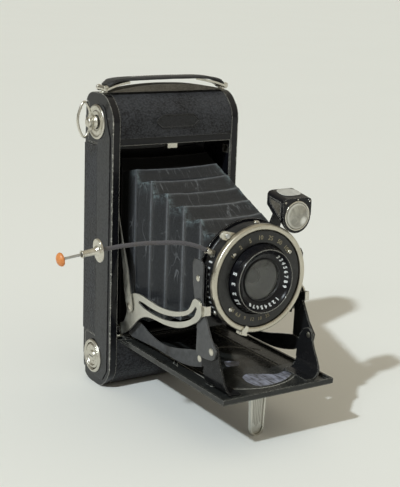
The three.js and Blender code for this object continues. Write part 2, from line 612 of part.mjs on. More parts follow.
function buildShutter() {
  const { radius, back, front, bore } = SHUTTER;
  addPiece('shutter_housing', turnedY(ringProfile(bore, radius, back, front)), blackMetal);
  addPiece('shutter_blades', turnedY(ringProfile(4, bore - 0.3, -97.4, -98)), blackMetal);
  const ring = turnedY([
    [RING.inner, RING.back], [RING.outer, RING.back], [RING.outer, RING.front + 0.5],
    [RING.outer - 0.7, RING.front], [RING.inner + 0.6, RING.front], [RING.inner, RING.front + 0.6],
  ], 0, AXIS_Z, 48);
  addPiece('speed_ring', ring, nickel);
  const face = ringProfile(LENS.skirt + GAP, RING.inner - GAP, -101.5, -103.6);
  addPiece('shutter_face', turnedY(face), blackMetal);
  const pointer = shapeOf([
    [-7.9, 62.6], [-6.4, 61.6], [-7, 59], [-9, 57.3], [-11, 57.8], [-10.4, 60.4],
  ]);
  const root = acrossY(shapeOf([[-7, 59], [-11.6, 61], [-11.6, 54], [-7, 54]]), -105, -101.5)
    .subtract(cylinderY(RING.outer + GAP, -110, -90, 0, AXIS_Z, 48))
    .intersect(cylinderY(31.2, -110, -90, 0, AXIS_Z, 48));
  addPiece('aperture_lever', union(acrossY(pointer, -105.4, RING.front - 0.2), root), nickel);
  const lever = barOutline([-16, AXIS_Z + 23.4], 2.4, [-21.2, AXIS_Z + 24.8], 2.3);
  const release = union(acrossY(lever, -101, -99.6), cylinderY(1.5, -101.6, -100.5, -19.6, AXIS_Z + 24.5));
  addPiece('release_lever', release.subtract(cylinderY(28.9, -110, -90, 0, AXIS_Z, 48)), nickel);
}

function buildLens() {
  const { front, rim, skirt, bore, seat, glass: glassRadius } = LENS;
  addPiece('focus_ring', turnedY([
    [bore, RING.back], [skirt, RING.back], [skirt, RING.front], [rim + 0.4, front + 0.4], [rim, front],
    [rim - 0.5, front + 0.2], [bore, seat],
  ]), enamel);
  addPiece('front_lens', turnedY([
    [0, -103.4], [glassRadius, -103.4], [glassRadius, -105.9], [8, -106.9], [4, -107.3], [0, -107.4],
  ]), glass);
  addPiece('rear_lens', turnedY([
    [0, -91], [11, -91], [11, -88.2], [9, -88.2], [6, -87.7], [0, -87.5],
  ]), glass);
}

function buildCableSocket() {
  const { y, angle, length } = SOCKET;
  const geometry = new THREE.CylinderGeometry(1.7, 2.1, length, 16)
    .translate(0, SHUTTER.radius + GAP + length / 2, 0).rotateZ(angle).rotateX(Math.PI / 2)
    .translate(0, y, AXIS_Z);
  addPiece('cable_socket', toSolid(geometry), nickel);
}

// Raises everything behind the finder's front face by a share of its distance from that face.
function sloped(solid) {
  const { front, rise } = FINDER;
  return solid.transform([1, 0, 0, 0, 0, 1, rise, 0, 0, 0, 1, 0, 0, 0, -rise * front, 1]);
}

function buildFinder() {
  const { x, z, halfX, front, back, top } = FINDER;
  const side = shapeOf([
    [front, 108], [front, 140], [back, 140], [back, 124], [-102, 116.2], [-105.4, 111],
  ]);
  const face = (radius) => {
    const outline = new THREE.Shape();
    outline.moveTo(x - halfX, 140);
    outline.lineTo(x - halfX, z);
    outline.absarc(x, z, radius, Math.PI, Math.PI * 2, false);
    outline.lineTo(x + halfX, z);
    outline.lineTo(x + halfX, 140);
    outline.closePath();
    return outline;
  };
  const brow = -104.9;
  const silhouette = union(acrossY(face(8.9), -110, brow, 16), acrossY(face(8), brow - 0.1, -80, 16));
  const roof = roundedPolygon([
    [x - halfX, 100], [x + halfX, 100], [x + halfX, top - 0.8],
    [x + 6.6, top], [x - 6.6, top], [x - halfX, top - 0.8],
  ], [0.3, 0.3, 2.4, 2, 2, 2.4]);
  const housing = acrossX(side, x - halfX - 1, x + halfX + 1)
    .intersect(silhouette).intersect(sloped(acrossY(roof, front - 1, back + 1, 4)));
  const boss = cylinderY(2.8, -97, back, ...FINDER_PIVOT);
  const bore = cylinderY(1.5, -95, -80, ...FINDER_PIVOT);
  addPiece('finder_housing', housing.add(boss).subtract(bore), enamel);
  const lens = [
    [0, front - GAP], [FINDER_GLASS, front - GAP], [FINDER_GLASS, front - 1.4], [5, front - 2.3],
    [0, front - 2.6],
  ];
  addPiece('finder_front_lens', turnedY(lens, x, z, 24), glass);
  const [y0, y1] = [front + 3.4, back - 1.4];
  const corners = [[x - 6.4, y0], [x + 6.4, y0], [x + 6.4, y1], [x - 6.4, y1]];
  const window = acrossZ(roundedPolygon(corners, [4.5, 4.5, 4.5, 4.5]), top + 0.1, top + 0.5, 4);
  addPiece('finder_top_lens', sloped(window), glass);
}

// ---------------------------------------------------------------- cable release

function buildCable() {
  const points = CABLE_ROUTE.map((point) => new THREE.Vector3(...point));
  const path = new THREE.CatmullRomCurve3(points, false, 'centripetal');
  const section = new THREE.Shape();
  for (let i = 0; i < CABLE.sides; i += 1) {
    const angle = (Math.PI * 2 * i) / CABLE.sides;
    const at = [Math.cos(angle) * CABLE.diameter / 2, Math.sin(angle) * CABLE.diameter / 2];
    if (i === 0) section.moveTo(...at);
    else section.lineTo(...at);
  }
  const sweep = { steps: 16, extrudePath: path, bevelEnabled: false };
  addPiece('release_cable', toSolid(new THREE.ExtrudeGeometry(section, sweep)), braid);
}

function buildReleaseEnd() {
  const group = new THREE.Group();
  group.position.set(...RELEASE.at);
  group.rotation.y = -THREE.MathUtils.degToRad(RELEASE.tilt);
  root.add(group);
  const turned = (profile) => turnedX(profile, 0, 0, 20);
  const plate = turned([
    [0, 0.5], [5.5, 0.5], [5.5, -0.7], [1.9, -0.7], [1.7, -9.5], [1.1, -9.5], [1.1, -1], [0, -1],
  ]);
  addPiece('thumb_plate', plate, nickel, group);
  const plunger = turned([
    [0, -7], [0.7, -7], [0.7, -19.4], [3.2, -19.6], [3.6, -20.6], [2.6, -22], [0, -22.6],
  ]);
  addPiece('plunger', plunger, orangePaint, group);
}

// ---------------------------------------------------------------- the camera

buildBodyShell();
buildFrontLeather();
buildSideLeather();
buildFilmPath();
buildWindingKey();
buildFeedKnob();
buildBackDoor();
buildBackLatch();
buildStrap();
buildBedCatch();
buildBellows();
buildBed();
buildFoot();
buildBracketsAndLegs();
buildLockArms();
buildStruts();
buildStandard();
buildShutter();
buildLens();
buildCableSocket();
buildFinder();
buildCable();
buildReleaseEnd();

export default root;
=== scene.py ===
"""A folding roll-film camera, opened and standing on its lower end.

Lengths in this script are in millimetres, in the CAD frame, and become metres where meshes are made.
"""

import math

import bmesh
import bpy
from mathutils import Matrix, Vector, noise


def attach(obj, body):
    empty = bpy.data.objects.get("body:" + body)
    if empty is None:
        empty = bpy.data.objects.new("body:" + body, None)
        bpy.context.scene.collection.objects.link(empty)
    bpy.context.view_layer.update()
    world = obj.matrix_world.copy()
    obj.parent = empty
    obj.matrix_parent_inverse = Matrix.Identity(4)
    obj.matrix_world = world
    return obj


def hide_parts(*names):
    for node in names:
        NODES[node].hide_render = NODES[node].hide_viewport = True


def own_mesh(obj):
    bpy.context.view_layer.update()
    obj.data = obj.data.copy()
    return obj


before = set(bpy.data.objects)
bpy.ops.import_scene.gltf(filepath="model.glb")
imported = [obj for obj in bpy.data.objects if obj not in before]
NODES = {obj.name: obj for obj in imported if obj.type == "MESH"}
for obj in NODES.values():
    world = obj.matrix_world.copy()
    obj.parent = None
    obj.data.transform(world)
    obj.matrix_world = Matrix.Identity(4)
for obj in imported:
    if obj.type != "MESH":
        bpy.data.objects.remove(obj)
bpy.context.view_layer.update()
MM = 0.001
SIDES = ((-1, "left"), (1, "right"))
AXIS_Z = 87.0                      # height of the lens axis
SIDE_FACE = -42.3                  # face of the leather on the left side, in X
BED_TOP = 31.78                    # upper face of the open bed, in Z
FINDER_LENS = {"centre": (20.4, 119.7), "radius": 7.2, "front": -106.6}


def add_object(name, data):
    obj = bpy.data.objects.new(name, data)
    bpy.context.scene.collection.objects.link(obj)
    return obj


# ---------------------------------------------------------------- camera

VIEW = {
    "azimuth": -32.85, "elevation": 13.96, "roll": 2.09,
    "distance": 680.32, "target": (29.04, 0.0, 79.34), "lens": 81.2,
}


def make_camera():
    azimuth, elevation, roll = (math.radians(VIEW[k]) for k in ("azimuth", "elevation", "roll"))
    back = Vector((
        math.sin(azimuth) * math.cos(elevation),
        -math.cos(azimuth) * math.cos(elevation),
        math.sin(elevation),
    ))
    right = (-back).cross(Vector((0, 0, 1))).normalized()
    up = right.cross(-back)
    turned_right = right * math.cos(roll) + up * math.sin(roll)
    turned_up = up * math.cos(roll) - right * math.sin(roll)
    matrix = Matrix((turned_right, turned_up, back)).transposed().to_4x4()
    matrix.translation = (Vector(VIEW["target"]) + back * VIEW["distance"]) * MM
    data = bpy.data.cameras.new("camera")
    data.lens = VIEW["lens"]
    data.clip_start = 0.01
    camera = add_object("camera", data)
    camera.matrix_world = matrix
    bpy.context.scene.camera = camera


make_camera()


# ---------------------------------------------------------------- material nodes

class Nodes:
    """Adds nodes to the tree of a material or world."""

    def __init__(self, owner):
        owner.use_nodes = True
        self.tree = owner.node_tree

    def node(self, kind, inputs=None, **settings):
        made = self.tree.nodes.new("ShaderNode" + kind)
        for key, value in settings.items():
            setattr(made, key, value)
        for key, value in (inputs or {}).items():
            if isinstance(value, bpy.types.NodeSocket):
                self.tree.links.new(value, made.inputs[key])
            else:
                made.inputs[key].default_value = value
        return made


class Look(Nodes):
    """One procedural material. Coordinates are the object's own, in metres."""

    def __init__(self, name, color, roughness, **sockets):
        self.material = bpy.data.materials.new(name)
        super().__init__(self.material)
        self.shader = self.tree.nodes["Principled BSDF"]
        self.shader.inputs["Base Color"].default_value = (*color, 1)
        self.shader.inputs["Roughness"].default_value = roughness
        for socket, value in sockets.items():
            self.shader.inputs[socket.replace("_", " ")].default_value = value

    def coords(self, stretch=(1, 1, 1)):
        source = self.node("TexCoord").outputs["Object"]
        return self.node("Mapping", {"Vector": source, "Scale": stretch}).outputs[0]

    def noise(self, scale, detail=3, roughness=0.55, distortion=0, stretch=(1, 1, 1)):
        return self.node("TexNoise", {
            "Vector": self.coords(stretch), "Scale": scale, "Detail": detail,
            "Roughness": roughness, "Distortion": distortion,
        }).outputs[0]

    def voronoi(self, scale, feature="F1", stretch=(1, 1, 1)):
        inputs = {"Vector": self.coords(stretch), "Scale": scale}
        return self.node("TexVoronoi", inputs, feature=feature).outputs["Distance"]

    def attribute(self, name):
        return self.node("Attribute", attribute_name=name).outputs["Fac"]

    def range(self, value, low, high, to_low=0.0, to_high=1.0):
        return self.node("MapRange", {
            0: value, 1: low, 2: high, 3: to_low, 4: to_high,
        }, interpolation_type="SMOOTHSTEP").outputs[0]

    def math(self, operation, a, b=0.0):
        return self.node("Math", {0: a, 1: b}, operation=operation).outputs[0]

    def plus(self, a, b):
        return self.math("ADD", a, b)

    def times(self, a, b):
        return self.math("MULTIPLY", a, b)

    def mix(self, factor, a, b):
        """Colours a and b, each a socket or a triple, mixed by factor."""
        made = self.node("Mix", {"Factor": factor}, data_type="RGBA")
        for index, value in ((6, a), (7, b)):
            if isinstance(value, bpy.types.NodeSocket):
                self.tree.links.new(value, made.inputs[index])
            else:
                made.inputs[index].default_value = (*value, 1)
        return made.outputs[2]

    def edges(self, radius):
        """Near 1 on convex or concave edges, 0 on flat faces."""
        rounded = self.node("Bevel", {"Radius": radius * MM}, samples=4).outputs[0]
        plain = self.node("NewGeometry").outputs["Normal"]
        facing = self.node("VectorMath", {0: rounded, 1: plain}, operation="DOT_PRODUCT").outputs["Value"]
        return self.math("SUBTRACT", 1.0, facing)

    def rubbed(self, radius, gain, scale):
        """High on edges, and broken up by noise."""
        return self.plus(self.times(self.edges(radius), gain), self.noise(scale, 4, 0.7))

    def bump(self, height, strength, distance, under=None):
        inputs = {"Height": height, "Strength": strength, "Distance": distance * MM}
        if under is not None:
            inputs["Normal"] = under
        return self.node("Bump", inputs).outputs[0]

    def use(self, socket, value):
        self.tree.links.new(value, self.shader.inputs[socket])


BARE_METAL = (0.45, 0.43, 0.38)


def enamel(name, chips=1.0, gloss=0.19, dark=(0.006, 0.006, 0.008), light=(0.020, 0.020, 0.022), rim=0.0):
    """Black stoving enamel: glossy, faintly uneven, chipped to bare metal along its edges.

    rim adds pale flecks along the long front edges of the body: partly chips to bare metal, partly painted
    highlights where those edges catch the light.
    """
    look = Look(name, (0.010, 0.010, 0.012), 0.2,
                Specular_IOR_Level=0.26, Coat_Weight=0.12, Coat_Roughness=0.06)
    dust = look.noise(240, 5, 0.7)
    uneven = look.plus(dust, look.noise(26, 2))
    look.use("Roughness", look.range(uneven, 0.75, 1.3, gloss - 0.09, gloss + 0.09))
    worn = look.rubbed(0.9, 1.5, 420)
    # Front-edge flecks: chips to bare metal, and also painted highlights.
    if rim:
        axes = look.node("SeparateXYZ", {"Vector": look.node("TexCoord").outputs["Object"]}).outputs
        outer = look.range(look.math("ABSOLUTE", axes["X"]), 0.0410, 0.0417)
        front = look.range(axes["Y"], -0.0164, -0.0156, 1, 0)
        worn = look.plus(worn, look.times(look.times(outer, front), rim))
    chip = look.range(worn, 1.0 / chips - 0.02, 1.0 / chips + 0.03)
    body = look.mix(look.range(dust, 0.55, 0.8, 0, 0.35), dark, light)
    look.use("Base Color", look.mix(chip, body, (0.42, 0.41, 0.37)))
    scratches = look.noise(90, 3, 0.5, 0, (1, 1, 14))
    ripple = look.bump(look.noise(150, 2), 0.10, 0.25)
    look.use("Normal", look.bump(look.range(scratches, 0.62, 0.72), 0.12, 0.05, ripple))
    return look.material


def leathered(name, dark, light, grain, depth, roughness, stretch=(1, 1, 1), rubbed=0.5):
    """Pebbled leather. grain is the size of a pebble in millimetres."""
    look = Look(name, dark, roughness, Sheen_Weight=0.05, Sheen_Roughness=0.5, Specular_IOR_Level=0.27)
    scale = 1 / (grain * MM)
    cells = look.voronoi(scale, "SMOOTH_F1", stretch)
    pores = look.noise(scale * 0.9, 4, 0.65, 0.6, stretch)
    height = look.plus(look.times(cells, -0.9), look.times(pores, 0.7))
    broad = look.noise(34, 4, 0.6)
    pebbles = look.range(height, -0.35, 0.25, 0, 0.75)
    tone = look.plus(pebbles, look.range(broad, 0.35, 0.7, -0.2, 0.35))
    rub = look.range(look.rubbed(1.0, 1.2, 300), 0.86, 1.05, 0, rubbed)
    look.use("Base Color", look.mix(rub, look.mix(tone, dark, light), (0.17, 0.165, 0.155)))
    look.use("Roughness", look.range(broad, 0.3, 0.7, roughness - 0.08, roughness + 0.1))
    look.use("Normal", look.bump(height, depth, grain * 0.35))
    return look.material


def plated(name, color, roughness, spots=0.5, brushed=(1, 1, 1), dull=0.5):
    """Old nickel plate: warm, a little cloudy, with brown specks and fine rubbing marks."""
    look = Look(name, color, roughness, Metallic=1.0)
    cloud = look.noise(110, 5, 0.65)
    specks = look.range(look.noise(620, 5, 0.75, 0.4), 0.70 - 0.12 * spots, 0.78 - 0.10 * spots)
    stain = look.times(look.range(look.noise(70, 3, 0.6), 0.45, 0.65), specks)
    tint = look.mix(look.range(cloud, 0.3, 0.72), tuple(c * 0.80 for c in color), color)
    grime = look.range(look.edges(0.7), 0.02, 0.28, 0, dull)
    tint = look.mix(look.times(grime, cloud), tint, (0.20, 0.17, 0.12))
    look.use("Base Color", look.mix(stain, tint, (0.16, 0.11, 0.06)))
    look.use("Roughness", look.range(cloud, 0.3, 0.75, roughness - 0.05, roughness + 0.16))
    rub = look.noise(500, 3, 0.5, 0, brushed)
    look.use("Normal", look.bump(rub, 0.12, 0.05))
    return look.material


def painted(name, dark, light, roughness, chips=0.6):
    """Satin paint on sheet metal with rubbed edges."""
    look = Look(name, dark, roughness, Specular_IOR_Level=0.5)
    mottle = look.noise(320, 5, 0.7)
    chip = look.range(look.rubbed(0.6, 1.3, 520), 0.98, 1.05, 0, chips)
    base = look.mix(look.range(mottle, 0.3, 0.75), dark, light)
    look.use("Base Color", look.mix(chip, base, BARE_METAL))
    look.use("Roughness", look.range(mottle, 0.3, 0.75, roughness - 0.08, roughness + 0.12))
    look.use("Normal", look.bump(mottle, 0.12, 0.08))
    return look.material


def black_and_lit_grey(name, seam_y):
    """Black gloss in front of a plane square to Y; behind it the black paint is painted grey, as painted
    light where the lamp falls on it.
    """
    look = Look(name, (0.02, 0.02, 0.02), 0.3, Specular_IOR_Level=0.14)
    across = look.node("SeparateXYZ", {"Vector": look.node("TexCoord").outputs["Object"]}).outputs["Y"]
    wobble = look.times(look.noise(300, 3), 0.001)
    behind = look.range(look.plus(across, wobble), (seam_y - 0.4) * MM, (seam_y + 1.2) * MM)
    mottle = look.noise(320, 5, 0.7)
    grey = look.mix(look.range(mottle, 0.3, 0.75), (0.045, 0.046, 0.049), (0.086, 0.088, 0.092))
    black = look.mix(look.range(mottle, 0.4, 0.8), (0.009, 0.009, 0.010), (0.026, 0.026, 0.027))
    chip = look.range(look.rubbed(0.6, 1.3, 520), 0.98, 1.05, 0, 0.7)
    look.use("Base Color", look.mix(chip, look.mix(behind, black, grey), BARE_METAL))
    gloss = look.range(mottle, 0.3, 0.75, 0.14, 0.26)
    look.use("Roughness", look.plus(gloss, look.times(behind, 0.2)))
    look.use("Normal", look.bump(mottle, 0.10, 0.08))
    return look.material


def painted_reflection_sheen(name):
    """A painted reflection on gloss enamel: a pale bluish patch, streaked and clouded, with fine parallel
    scratches.
    """
    look = Look(name, (0.2, 0.2, 0.24), 0.4)
    streaks = look.noise(700, 4, 0.7, 0, (1.0, 0.12, 1))
    cloud = look.noise(160, 4, 0.7)
    tone = look.times(look.range(streaks, 0.32, 0.6), look.range(cloud, 0.25, 0.6))
    look.use("Base Color", look.mix(tone, (0.06, 0.06, 0.07), (0.36, 0.37, 0.46)))
    look.use("Roughness", look.range(streaks, 0.3, 0.7, 0.25, 0.5))
    look.use("Normal", look.bump(streaks, 0.25, 0.05))
    return look.material


def pleated(name):
    """Bellows leather: fine creases, teal-grey where the folds have rubbed.

    The mesh carries wear (corners), ridge (fold lines) and a share of painted shade (the part inside the
    body, made near black and dull).
    """
    look = Look(name, (0.02, 0.02, 0.023), 0.5, Sheen_Weight=0.1)
    ridge, painted_shade = look.attribute("ridge"), look.attribute("painted_shade")
    fine = look.noise(1500, 5, 0.7)
    streak = look.noise(210, 4, 0.65, 0.5, (1, 1, 5))
    across = look.noise(330, 2, 0.4, 0, (1.0, 0.10, 0.16))
    wander = look.math("ABSOLUTE", look.math("SUBTRACT", across, 0.5))
    patches = look.range(look.noise(60, 2), 0.48, 0.6)
    line = look.times(look.range(wander, 0.0, 0.016, 1, 0), patches)
    cloud = look.range(look.noise(55, 4, 0.7, 1.0), 0.5, 0.75)
    scuff = look.times(cloud, look.range(streak, 0.5, 0.7))
    base = look.mix(look.range(fine, 0.3, 0.7), (0.006, 0.007, 0.009), (0.023, 0.025, 0.030))
    base = look.mix(look.times(line, 0.6), base, (0.18, 0.19, 0.205))
    rubbed = look.times(ridge, look.range(fine, 0.25, 0.7, 0.35, 0.95))
    base = look.mix(rubbed, base, (0.155, 0.16, 0.175))
    base = look.mix(look.times(scuff, 0.28), base, (0.12, 0.12, 0.125))
    broken = look.range(look.noise(330, 5, 0.75, 0.6), 0.42, 0.66, 0, 0.8)
    wear = look.times(look.attribute("wear"), broken)
    base = look.mix(wear, base, (0.19, 0.245, 0.265))
    # Painted shade: the part inside the body is made near black, rougher and less shiny.
    look.use("Base Color", look.mix(painted_shade, base, (0.002, 0.002, 0.002)))
    satin = look.range(streak, 0.3, 0.7, 0.30, 0.50)
    look.use("Roughness", look.plus(satin, look.times(painted_shade, 0.4)))
    look.use("Specular IOR Level", look.range(painted_shade, 0.0, 1.0, 0.34, 0.05))
    height = look.plus(look.times(fine, 0.6), look.times(line, -0.8))
    look.use("Normal", look.bump(look.plus(height, streak), 0.35, 0.16))
    return look.material


def braided(name):
    """Closely woven cable cover."""
    look = Look(name, (0.05, 0.045, 0.055), 0.7, Sheen_Weight=0.15)
    strands = []
    for lean in (1, -1):
        inputs = {"Vector": look.coords((lean, 1, 1.6)), "Scale": 420.0, "Distortion": 0.6}
        strands.append(look.node("TexWave", inputs, bands_direction="DIAGONAL").outputs["Fac"])
    weave = look.math("MAXIMUM", *strands)
    base = look.mix(weave, (0.028, 0.025, 0.03), (0.105, 0.10, 0.112))
    look.use("Base Color", look.mix(look.range(look.noise(260, 4), 0.45, 0.75), base, (0.09, 0.08, 0.08)))
    look.use("Normal", look.bump(weave, 0.5, 0.15))
    return look.material


def lens_glass(name, tint):
    look = Look(name, tint, 0.02, Transmission_Weight=1.0, IOR=1.52, Coat_Weight=0.2)
    look.use("Roughness", look.range(look.noise(900, 5, 0.8), 0.45, 0.8, 0.02, 0.18))
    return look.material


def cloudy_glass(name, dark, light, roughness=0.08):
    """A lens seen by what lies behind it: pale, hazy and dusty, under a clear front. On the finder's top
    window the pale colour is painted light, standing for the bright image in the finder.
    """
    look = Look(name, dark, roughness, Specular_IOR_Level=0.8, Coat_Weight=1.0, Coat_Roughness=0.03)
    haze = look.noise(120, 4, 0.65, 0.8)
    dust = look.noise(1100, 4, 0.8)
    tone = look.plus(look.range(haze, 0.3, 0.7, 0, 0.8), look.range(dust, 0.6, 0.8, 0, 0.3))
    look.use("Base Color", look.mix(tone, dark, light))
    look.use("Roughness", look.range(dust, 0.4, 0.8, roughness, roughness + 0.2))
    return look.material


def painted_reflection_glass(name, centre, radius):
    """The finder's front lens, with its light and shade painted in: a painted dim ring at its edge, a painted
    pale ring inside it, and a painted highlight for the lit mirror low on its right side.
    """
    look = Look(name, (0.3, 0.28, 0.22), 0.05, Coat_Weight=1.0, Coat_Roughness=0.03)
    place_on = look.node("TexCoord").outputs["Object"]
    flat = look.node("VectorMath", {0: place_on, 1: (1, 0, 1)}, operation="MULTIPLY").outputs["Vector"]

    def distance(dx, dz):
        point = ((centre[0] + dx) * MM, 0, (centre[1] + dz) * MM)
        return look.node("VectorMath", {0: flat, 1: point}, operation="DISTANCE").outputs["Value"]

    haze = look.range(look.noise(160, 4, 0.65, 0.8), 0.3, 0.7)
    base = look.mix(haze, (0.20, 0.19, 0.16), (0.36, 0.345, 0.29))
    edge = radius * MM
    # Painted light and shade: a pale ring just inside the edge, and a dim ring at the edge.
    base = look.mix(look.range(distance(0, 0), edge * 0.76, edge * 0.9), base, (0.50, 0.48, 0.42))
    base = look.mix(look.range(distance(0, 0), edge * 0.9, edge), base, (0.06, 0.06, 0.05))
    # Painted highlight: the lit mirror seen low on the right of the lens.
    painted_glow = look.range(distance(radius * 0.42, -radius * 0.36), edge * 0.12, edge * 0.42, 1, 0)
    look.use("Base Color", look.mix(painted_glow, base, (0.86, 0.86, 0.82)))
    look.use("Roughness", look.range(look.noise(1100, 4, 0.8), 0.4, 0.8, 0.04, 0.22))
    return look.material


def ink(name, color):
    """Printed or engraved figures, unevenly filled."""
    look = Look(name, color, 0.6)
    thin = tuple(c * 0.7 for c in color)
    look.use("Base Color", look.mix(look.range(look.noise(700, 4, 0.7), 0.3, 0.7), thin, color))
    return look.material


ENAMEL = enamel("black_enamel_gloss", 1.19, rim=0.275)
ENAMEL_CLEAN = enamel("black_enamel_clean", 0.88)
BED_ENAMEL = enamel("black_enamel_bed", 0.98, 0.22, (0.022, 0.023, 0.022), (0.060, 0.060, 0.058))
GLOSS_BLACK = enamel("black_enamel_bracket", 1.06, 0.19, (0.012, 0.012, 0.013), (0.035, 0.035, 0.036))
FUNNEL = enamel("black_enamel_funnel", 0.86, 0.26, (0.006, 0.006, 0.008), (0.022, 0.022, 0.026))
# Painted reflection for the bed floor.
BED_REFLECTION_LOOK = painted_reflection_sheen("black_enamel_painted_reflection")
COVER = leathered("leather_morocco", (0.004, 0.004, 0.006), (0.044, 0.046, 0.053),
                  1.1, 1.0, 0.46, (1, 1, 1.25), 0.7)
SIDE_COVER = leathered("leather_side", (0.016, 0.016, 0.017), (0.050, 0.051, 0.054),
                       0.8, 0.3, 0.42, (1, 1, 0.8), 0.35)
SMOOTH_COVER = leathered("leather_smooth", (0.008, 0.008, 0.009), (0.026, 0.026, 0.028), 0.9, 0.25, 0.40)
LINING_LEATHER = leathered("leather_lining", (0.055, 0.048, 0.038), (0.150, 0.135, 0.112), 0.7, 0.3, 0.6)
STRAP_LEATHER = leathered("leather_strap", (0.014, 0.014, 0.015), (0.045, 0.045, 0.047),
                          0.7, 0.35, 0.4, (1.5, 1, 1), 0.5)
PLEATS = pleated("leather_bellows")
NICKEL = plated("nickel_warm", (0.74, 0.71, 0.63), 0.26, 0.5, (1, 1, 1))
NICKEL_ARM = plated("nickel_sheet", (0.70, 0.69, 0.63), 0.34, 0.25, (1, 6, 1), 0.8)
NICKEL_RING = plated("nickel_ring", (0.66, 0.62, 0.52), 0.30, 0.9)
NICKEL_DARK = plated("nickel_shaded", (0.62, 0.61, 0.56), 0.36, 0.5, (1, 1, 0.2))
STEEL = plated("steel_plain", (0.56, 0.56, 0.55), 0.32, 0.2)
# Painted light: grey for black paint where the lamp lights it, used on the left leg.
LIT_GREY = painted("paint_lit_grey", (0.036, 0.037, 0.040), (0.080, 0.082, 0.086), 0.38, 0.6)
BLACK = painted("paint_black", (0.010, 0.010, 0.011), (0.026, 0.026, 0.028), 0.34, 0.7)
FACE = painted("paint_face", (0.010, 0.010, 0.010), (0.028, 0.028, 0.027), 0.34, 0.4)
ORANGE = painted("paint_orange", (0.62, 0.20, 0.05), (0.78, 0.30, 0.09), 0.42, 0.25)
BRACKET_LEFT = black_and_lit_grey("paint_bracket", -98.5)
BRAID = braided("cable_braid")
LENS_GLASS = lens_glass("glass_lens", (0.93, 0.94, 0.90))
REAR_GLASS = cloudy_glass("glass_rear", (0.05, 0.05, 0.047), (0.13, 0.13, 0.12))
PANEL = cloudy_glass("glass_panel", (0.060, 0.052, 0.040), (0.170, 0.150, 0.118), 0.16)
# The finder's front lens, with painted highlight and painted shade.
FINDER_GLASS = painted_reflection_glass("glass_finder", FINDER_LENS["centre"], FINDER_LENS["radius"])
# Painted light: the pale top window stands for the bright image in the finder.
FINDER_TOP_PAINTED_LIGHT = cloudy_glass("glass_finder_top_painted_light", (0.44, 0.44, 0.41), (0.72, 0.72, 0.69))
RED_GLASS = cloudy_glass("glass_red", (0.16, 0.006, 0.004), (0.34, 0.02, 0.01))
WHITE_INK = ink("paint_figures_white", (0.80, 0.82, 0.82))
BUFF_INK = ink("paint_figures_buff", (0.36, 0.31, 0.20))


# ---------------------------------------------------------------- mesh makers

def solid_mesh(name, points, faces, sharp=38):
    """Points in millimetres. Doubles merge, normals face out, edges over sharp degrees stay crisp."""
    mesh = bpy.data.meshes.new(name)
    mesh.from_pydata([Vector(p) * MM for p in points], [], faces)
    bm = bmesh.new()
    bm.from_mesh(mesh)
    bmesh.ops.remove_doubles(bm, verts=bm.verts, dist=1e-7)
    bmesh.ops.dissolve_degenerate(bm, dist=1e-8, edges=bm.edges)
    bmesh.ops.recalc_face_normals(bm, faces=bm.faces)
    bm.to_mesh(mesh)
    bm.free()
    mesh.shade_smooth()
    mesh.set_sharp_from_angle(angle=math.radians(sharp))
    return mesh


def place(mesh, look, body, stands_for=(), bevel=None):
    """A new piece: its material, its body and the CAD nodes it stands for."""
    obj = add_object(mesh.name, mesh)
    mesh.materials.append(look)
    if bevel:
        add_bevel(obj, bevel)
    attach(obj, body)
    if stands_for:
        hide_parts(*stands_for)
    return obj


def add_bevel(obj, width, angle=30, segments=2):
    bevel = obj.modifiers.new("edges", "BEVEL")
    bevel.width = width * MM
    bevel.segments = segments
    bevel.limit_method = "ANGLE"
    bevel.angle_limit = math.radians(angle)
    bevel.harden_normals = True


def dress(node, look, bevel=0.0, segments=2):
    """Keeps a CAD node, with its seams welded, its edges rounded and a finished material."""
    obj = NODES[node]
    mesh = obj.data
    if "custom_normal" in mesh.attributes:
        mesh.attributes.remove(mesh.attributes["custom_normal"])
    mesh.materials.clear()
    mesh.materials.append(look)
    mesh.shade_smooth()
    weld = obj.modifiers.new("weld", "WELD")
    weld.merge_threshold = 2e-6
    flat = obj.modifiers.new("flat", "DECIMATE")
    flat.decimate_type = "DISSOLVE"
    flat.angle_limit = math.radians(0.6)
    if bevel:
        add_bevel(obj, bevel, 28, segments)
    return obj


def rectangle(x, y, width, height):
    """Corners of a rectangle about a centre."""
    w, h = width / 2, height / 2
    return [(x - w, y - h), (x + w, y - h), (x + w, y + h), (x - w, y + h)]


def skin(name, rings, closed=False, sharp=38):
    """Joins equal rings of points in their order. The two open ends are capped."""
    count = len(rings[0])
    faces = []
    for i in range(len(rings) if closed else len(rings) - 1):
        j = (i + 1) % len(rings)
        for k in range(count):
            m = (k + 1) % count
            faces.append((i * count + k, i * count + m, j * count + m, j * count + k))
    if not closed:
        last = (len(rings) - 1) * count
        faces += [tuple(range(count - 1, -1, -1)), tuple(range(last, last + count))]
    return solid_mesh(name, [p for ring in rings for p in ring], faces, sharp)


def soften(profile, radius, steps=3, closed=True):
    """Rounds each corner of a polyline."""
    count = len(profile)
    out = []
    for i, corner in enumerate(profile):
        if not closed and i in (0, count - 1):
            out.append(tuple(corner))
            continue
        here = Vector(corner)
        before, after = Vector(profile[i - 1]) - here, Vector(profile[(i + 1) % count]) - here
        reach = min(radius, before.length * 0.45, after.length * 0.45)
        start, end = here + before.normalized() * reach, here + after.normalized() * reach
        for k in range(steps + 1):
            t = k / steps
            out.append(tuple(start * (1 - t) ** 2 + here * 2 * t * (1 - t) + end * t * t))
    return out


TURN = {
    "x": lambda r, a, angle: (a, r * math.cos(angle), r * math.sin(angle)),
    "y": lambda r, a, angle: (r * math.cos(angle), a, r * math.sin(angle)),
    "z": lambda r, a, angle: (r * math.cos(angle), r * math.sin(angle), a),
}


